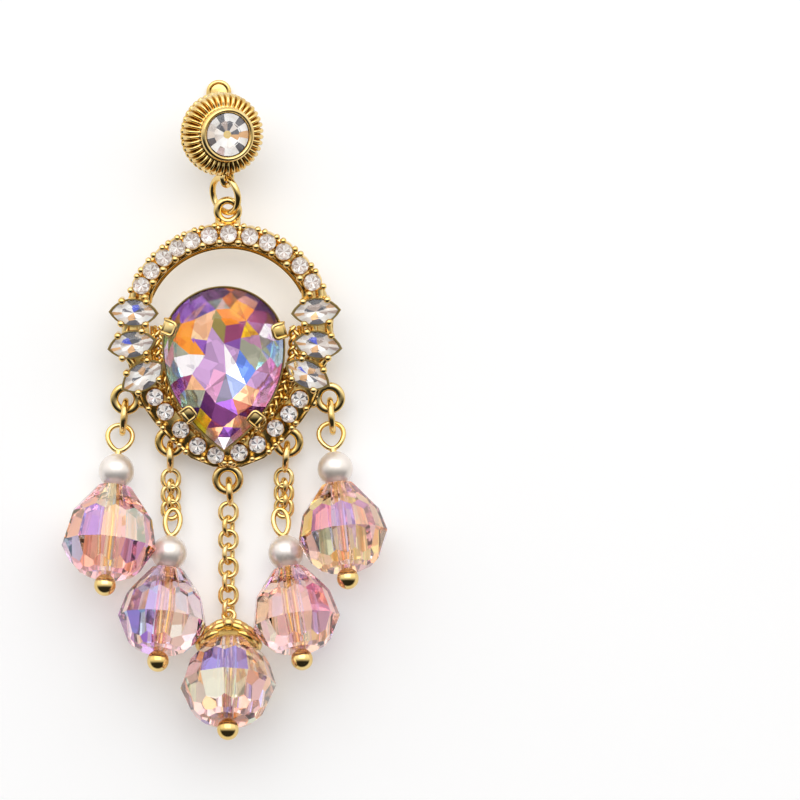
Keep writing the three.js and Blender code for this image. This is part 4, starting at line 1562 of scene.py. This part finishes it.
capLook = {
    "shell": 0.22,
    "domeInset": 0.42,
    "leaves": 5,
    "step": 38,
    "sweep": 44,
    "leafWire": 0.56,
    "leafInset": 0.4,
    "knob": {"radius": 0.66, "out": 2.75, "along": 6.3},
    "collar": {"mean": 0.95, "wire": 0.34, "along": 7.4},
}
capNeck = (7.5, 0.9)
# The rows of leaves: start and end along the thread, size, and the turn of the first one in degrees
capLeafRows = [(6.3, 5.35, 0.9, 0), (7.15, 6.5, 0.8, 14), (5.1, 4.5, 0.95, 20)]


def capRadius(along):
    rows = capRows + [capNeck]
    for (low, lowRadius), (high, highRadius) in zip(rows, rows[1:]):
        if along <= high:
            share = (along - low) / (high - low)
            return lowRadius + (highRadius - lowRadius) * share
    return capNeck[1]


def capLeaf(start, end, firstTurn, sweep):
    # The middle line of a leaf, that sweeps round the cap as it runs along it.
    points = []
    for step in range(11):
        share = step / 10
        along = start + (end - start) * share**1.3
        turn = radians(firstTurn + sweep * share)
        radius = capRadius(max(along, capRows[0][0])) - capLook["leafInset"]
        points.append(Vector((radius * cos(turn), radius * sin(turn), along)))
    return points


def makeCap(drop):
    # A dome in painted shade under rows of leaves, that sweep to both sides from a knob in front.
    look, knob, collar = capLook, capLook["knob"], capLook["collar"]
    bm = bmesh.new()
    domeRows = (4.75, 5.1, 5.5, 5.9, 6.3, 6.7, 7.0, 7.2, 7.4)
    outside = [(capRadius(along) - look["domeInset"], along) for along in domeRows]
    inside = [(radius - look["shell"], along - 0.08) for radius, along in outside]
    addTurned(bm, outside + inside[::-1] + [outside[0]], 48)
    closeSeams(bm)
    # the dome takes the second finish, a painted shade under the leaves
    for face in bm.faces:
        face.material_index = 1
    for start, end, size, first in capLeafRows:

        def leafWidth(share):
            return look["leafWire"] * size * (0.3 + 0.7 * sin(pi * share) ** 0.8)

        for side in (-1, 1):
            for i in range(look["leaves"]):
                turn = -90 + side * (first + i * look["step"])
                addWire(bm, capLeaf(start, end, turn, side * look["sweep"]), leafWidth)
    addBall(bm, knob["radius"], at(0, -knob["out"], knob["along"]))
    addRing(bm, collar["mean"], collar["wire"], at(0, 0, collar["along"]))
    finishPiece("beadCap", bm, [castGold, paintedShadeGold], ["bead_cap"], dropPlace(drop) @ alongThread, 50)


for drop in drops:
    makeBead(drop)
    makeHeadPin(drop)
    if drop["name"] == "Middle":
        makeCap(drop)
    else:
        makePearl(drop)
print("drops made")


# The ring of each drop: its place, mean radius and turn in degrees
dropRings = [
    (-11.53, -9.66, 1.82, -6),
    (-6.4, -14.08, 1.52, 0),
    (0.2, -17.98, 1.35, 4),
    (6.5, -14.08, 1.5, -5),
    (11.55, -9.56, 1.82, 5),
]
dropRingLook = {"wire": 0.36, "gap": 0.02}
chainLook = {"mean": 0.9, "wire": 0.29, "reach": 0.12, "height": 1.2}
# Each chain: its ends, how its links roll in turn, in degrees, and the mean radius of every second link
chains = [
    {
        "name": "InnerLeft", "node": "chain_inner_left",
        "x": -6.36, "from": -16.6, "to": -20.0, "count": 5, "rolls": (14, 70), "link": 0.56,
    },
    {
        "name": "Middle", "node": "chain_middle",
        "x": 0.06, "from": -20.3, "to": -31.1, "count": 8, "rolls": (5, 62), "link": 0.89,
    },
    {
        "name": "InnerRight", "node": "chain_inner_right",
        "x": 6.25, "from": -16.5, "to": -19.8, "count": 5, "rolls": (-12, -70), "link": 0.56,
    },
]


def makeDropRings():
    wire, gap = dropRingLook["wire"], dropRingLook["gap"]
    for (x, y, mean, lean), drop in zip(dropRings, drops):
        bm = bmesh.new()
        place = at(x, y, mean + wire + gap, lean) @ Matrix.Rotation(pi / 2, 4, "Y")
        addRing(bm, mean, wire, place, 0, 48, 14)
        closeSeams(bm)
        nodes = ["drop_ring_" + drop["node"]]
        finishPiece("dropRing" + drop["name"], bm, [polishedGold], nodes, toMetres, 60)


def makeChain(row):
    bm = bmesh.new()
    look = chainLook
    step = (row["to"] - row["from"]) / (row["count"] - 1)
    for i in range(row["count"]):
        roll = radians(row["rolls"][i % 2])
        place = at(row["x"], row["from"] + step * i, look["height"]) @ Matrix.Rotation(roll, 4, "Y")
        mean = row["link"] if i % 2 else look["mean"]
        addRing(bm, mean, look["wire"], place, look["reach"], 32, 10)
    closeSeams(bm, 0.0005)
    finishPiece("chain" + row["name"], bm, [polishedGold], [row["node"]], toMetres, 60)


makeDropRings()
for row in chains:
    makeChain(row)
print("rings and chains made")


# Floor, camera and lamp, in metres and watts
floorLook = {
    "size": 3.0,
    "colour": (0.81, 0.81, 0.815),
    "glow": 0.22,
    "glowColour": (1, 0.985, 0.96, 1),
    "fade": (0.12, 0.5),
    "fadeGlow": 0.8,
}
cameraLook = {"x": 0.01942, "y": 0.00098, "z": 0.9, "viewWidth": 0.0889, "focusHeight": 0.004}
lampLook = {"energy": 2.2, "width": 0.9, "height": 0.6, "distance": 0.7, "fromVertical": 35.0, "azimuth": 90}
# brightness of the room against how far a direction points to +Y, from -1 to 1
roomStops = [
    (-1, 0.03),
    (-0.32, 0.03),
    (-0.15, 0.35),
    (0.0, 0.85),
    (0.15, 1.1),
    (0.4, 1.4),
    (0.8, 1.3),
    (1, 0.9),
]
horizonStops = [(0.0, 0.7), (0.08, 0.55), (0.18, 0.0)]  # the same against how far it points up
roomBehind = {"seen": 0.96, "inGlass": 0.95}  # brightness of the room seen directly, and through glass


def makeFloor():
    bm = bmesh.new()
    bmesh.ops.create_grid(bm, x_segments=8, y_segments=8, size=floorLook["size"])
    mesh = bpy.data.meshes.new("floor")
    bm.to_mesh(mesh)
    bm.free()
    floor = bpy.data.objects.new("floor", mesh)
    scene.collection.objects.link(floor)
    material, tree, shader = newMaterial("paleFloor", Roughness=0.9)
    shader.inputs["Emission Color"].default_value = floorLook["glowColour"]
    cloud = noiseOn(tree, 30)
    colour = floorLook["colour"]
    deeper = [channel * 0.995 for channel in colour]
    shade = ramp(tree, cloud.outputs["Fac"], [(0.3, (*deeper, 1)), (0.7, (*colour, 1))])
    tree.links.new(shade.outputs["Color"], shader.inputs["Base Color"])
    # far from the earring the floor fades into the backdrop, where the camera sees it
    place = tree.nodes.new("ShaderNodeTexCoord")
    away = tree.nodes.new("ShaderNodeVectorMath")
    away.operation = "LENGTH"
    tree.links.new(place.outputs["Object"], away.inputs[0])
    fade = tree.nodes.new("ShaderNodeMapRange")
    fade.inputs["From Min"].default_value, fade.inputs["From Max"].default_value = floorLook["fade"]
    fade.inputs["To Max"].default_value = floorLook["fadeGlow"]
    tree.links.new(away.outputs["Value"], fade.inputs["Value"])
    path = tree.nodes.new("ShaderNodeLightPath")
    seen = addNode(tree, "ShaderNodeMath")
    seen.operation = "MULTIPLY"
    tree.links.new(fade.outputs["Result"], seen.inputs[0])
    tree.links.new(path.outputs["Is Camera Ray"], seen.inputs[1])
    glow = addNode(tree, "ShaderNodeMath")
    glow.operation = "ADD"
    glow.inputs[1].default_value = floorLook["glow"]
    tree.links.new(seen.outputs["Value"], glow.inputs[0])
    tree.links.new(glow.outputs["Value"], shader.inputs["Emission Strength"])
    floor.data.materials.append(material)


def makeLamp():
    look = lampLook
    data = bpy.data.lights.new("keySoftbox", "AREA")
    data.shape = "RECTANGLE"
    data.size, data.size_y, data.energy = look["width"], look["height"], look["energy"]
    lamp = bpy.data.objects.new("keySoftbox", data)
    lean, turn = radians(look["fromVertical"]), radians(look["azimuth"])
    way = Vector((sin(lean) * cos(turn), sin(lean) * sin(turn), cos(lean)))
    aim = way.to_track_quat("Z", "Y").to_matrix().to_4x4()
    lamp.matrix_world = Matrix.Translation(way * look["distance"]) @ aim
    lamp.visible_camera = False
    scene.collection.objects.link(lamp)


def makeWorld():
    # The room: dim overhead, dark behind the drops' ends, and plain white where it is seen directly.
    world = bpy.data.worlds.new("studio")
    scene.world = world
    world.use_nodes = True
    tree = world.node_tree
    background = tree.nodes["Background"]
    place = tree.nodes.new("ShaderNodeTexCoord")
    parts = tree.nodes.new("ShaderNodeSeparateXYZ")
    tree.links.new(place.outputs["Generated"], parts.inputs["Vector"])
    shift = addNode(tree, "ShaderNodeMapRange")
    shift.inputs["From Min"].default_value, shift.inputs["From Max"].default_value = -1, 1
    tree.links.new(parts.outputs["Y"], shift.inputs["Value"])
    # the ramps carry half the brightness, and the background's strength doubles it
    stops = [((y + 1) / 2, (value / 2, value / 2, value / 2, 1)) for y, value in roomStops]
    grey = ramp(tree, shift.outputs["Result"], stops)
    lowStops = [(z, (value / 2, value / 2, value / 2, 1)) for z, value in horizonStops]
    horizon = ramp(tree, parts.outputs["Z"], lowStops)
    larger = tree.nodes.new("ShaderNodeMath")
    larger.operation = "MAXIMUM"
    tree.links.new(grey.outputs["Color"], larger.inputs[0])
    tree.links.new(horizon.outputs["Color"], larger.inputs[1])
    tree.links.new(larger.outputs["Value"], background.inputs["Color"])
    background.inputs["Strength"].default_value = 2
    backdrop = addNode(tree, "ShaderNodeBackground", Color=(*[roomBehind["seen"]] * 3, 1))
    inGlass = addNode(tree, "ShaderNodeBackground", Color=(*[roomBehind["inGlass"]] * 3, 1))
    path = tree.nodes.new("ShaderNodeLightPath")
    last = background
    for ray, shader in (("Transmission Depth", inGlass), ("Is Camera Ray", backdrop)):
        mix = tree.nodes.new("ShaderNodeMixShader")
        once = tree.nodes.new("ShaderNodeMath")
        once.operation = "MINIMUM"
        once.inputs[1].default_value = 1.0
        tree.links.new(path.outputs[ray], once.inputs[0])
        tree.links.new(once.outputs["Value"], mix.inputs[0])
        tree.links.new(last.outputs[0], mix.inputs[1])
        tree.links.new(shader.outputs["Background"], mix.inputs[2])
        last = mix
    tree.links.new(last.outputs[0], tree.nodes["World Output"].inputs["Surface"])


def makeCamera():
    data = bpy.data.cameras.new("camera")
    data.sensor_width = 36
    data.lens = 36 * (cameraLook["z"] - cameraLook["focusHeight"]) / cameraLook["viewWidth"]
    data.clip_start, data.clip_end = 0.01, 20
    camera = bpy.data.objects.new("camera", data)
    camera.location = (cameraLook["x"], cameraLook["y"], cameraLook["z"])
    scene.collection.objects.link(camera)
    scene.camera = camera


makeFloor()
makeLamp()
makeWorld()
makeCamera()

scene.view_settings.view_transform = "Standard"
scene.cycles.max_bounces = 20
scene.cycles.transmission_bounces = 16
scene.cycles.glossy_bounces = 8
scene.cycles.diffuse_bounces = 4
scene.cycles.transparent_max_bounces = 24
scene.cycles.sample_clamp_indirect = 8.0
scene.cycles.caustics_refractive = True
scene.cycles.caustics_reflective = True
print("studio made")
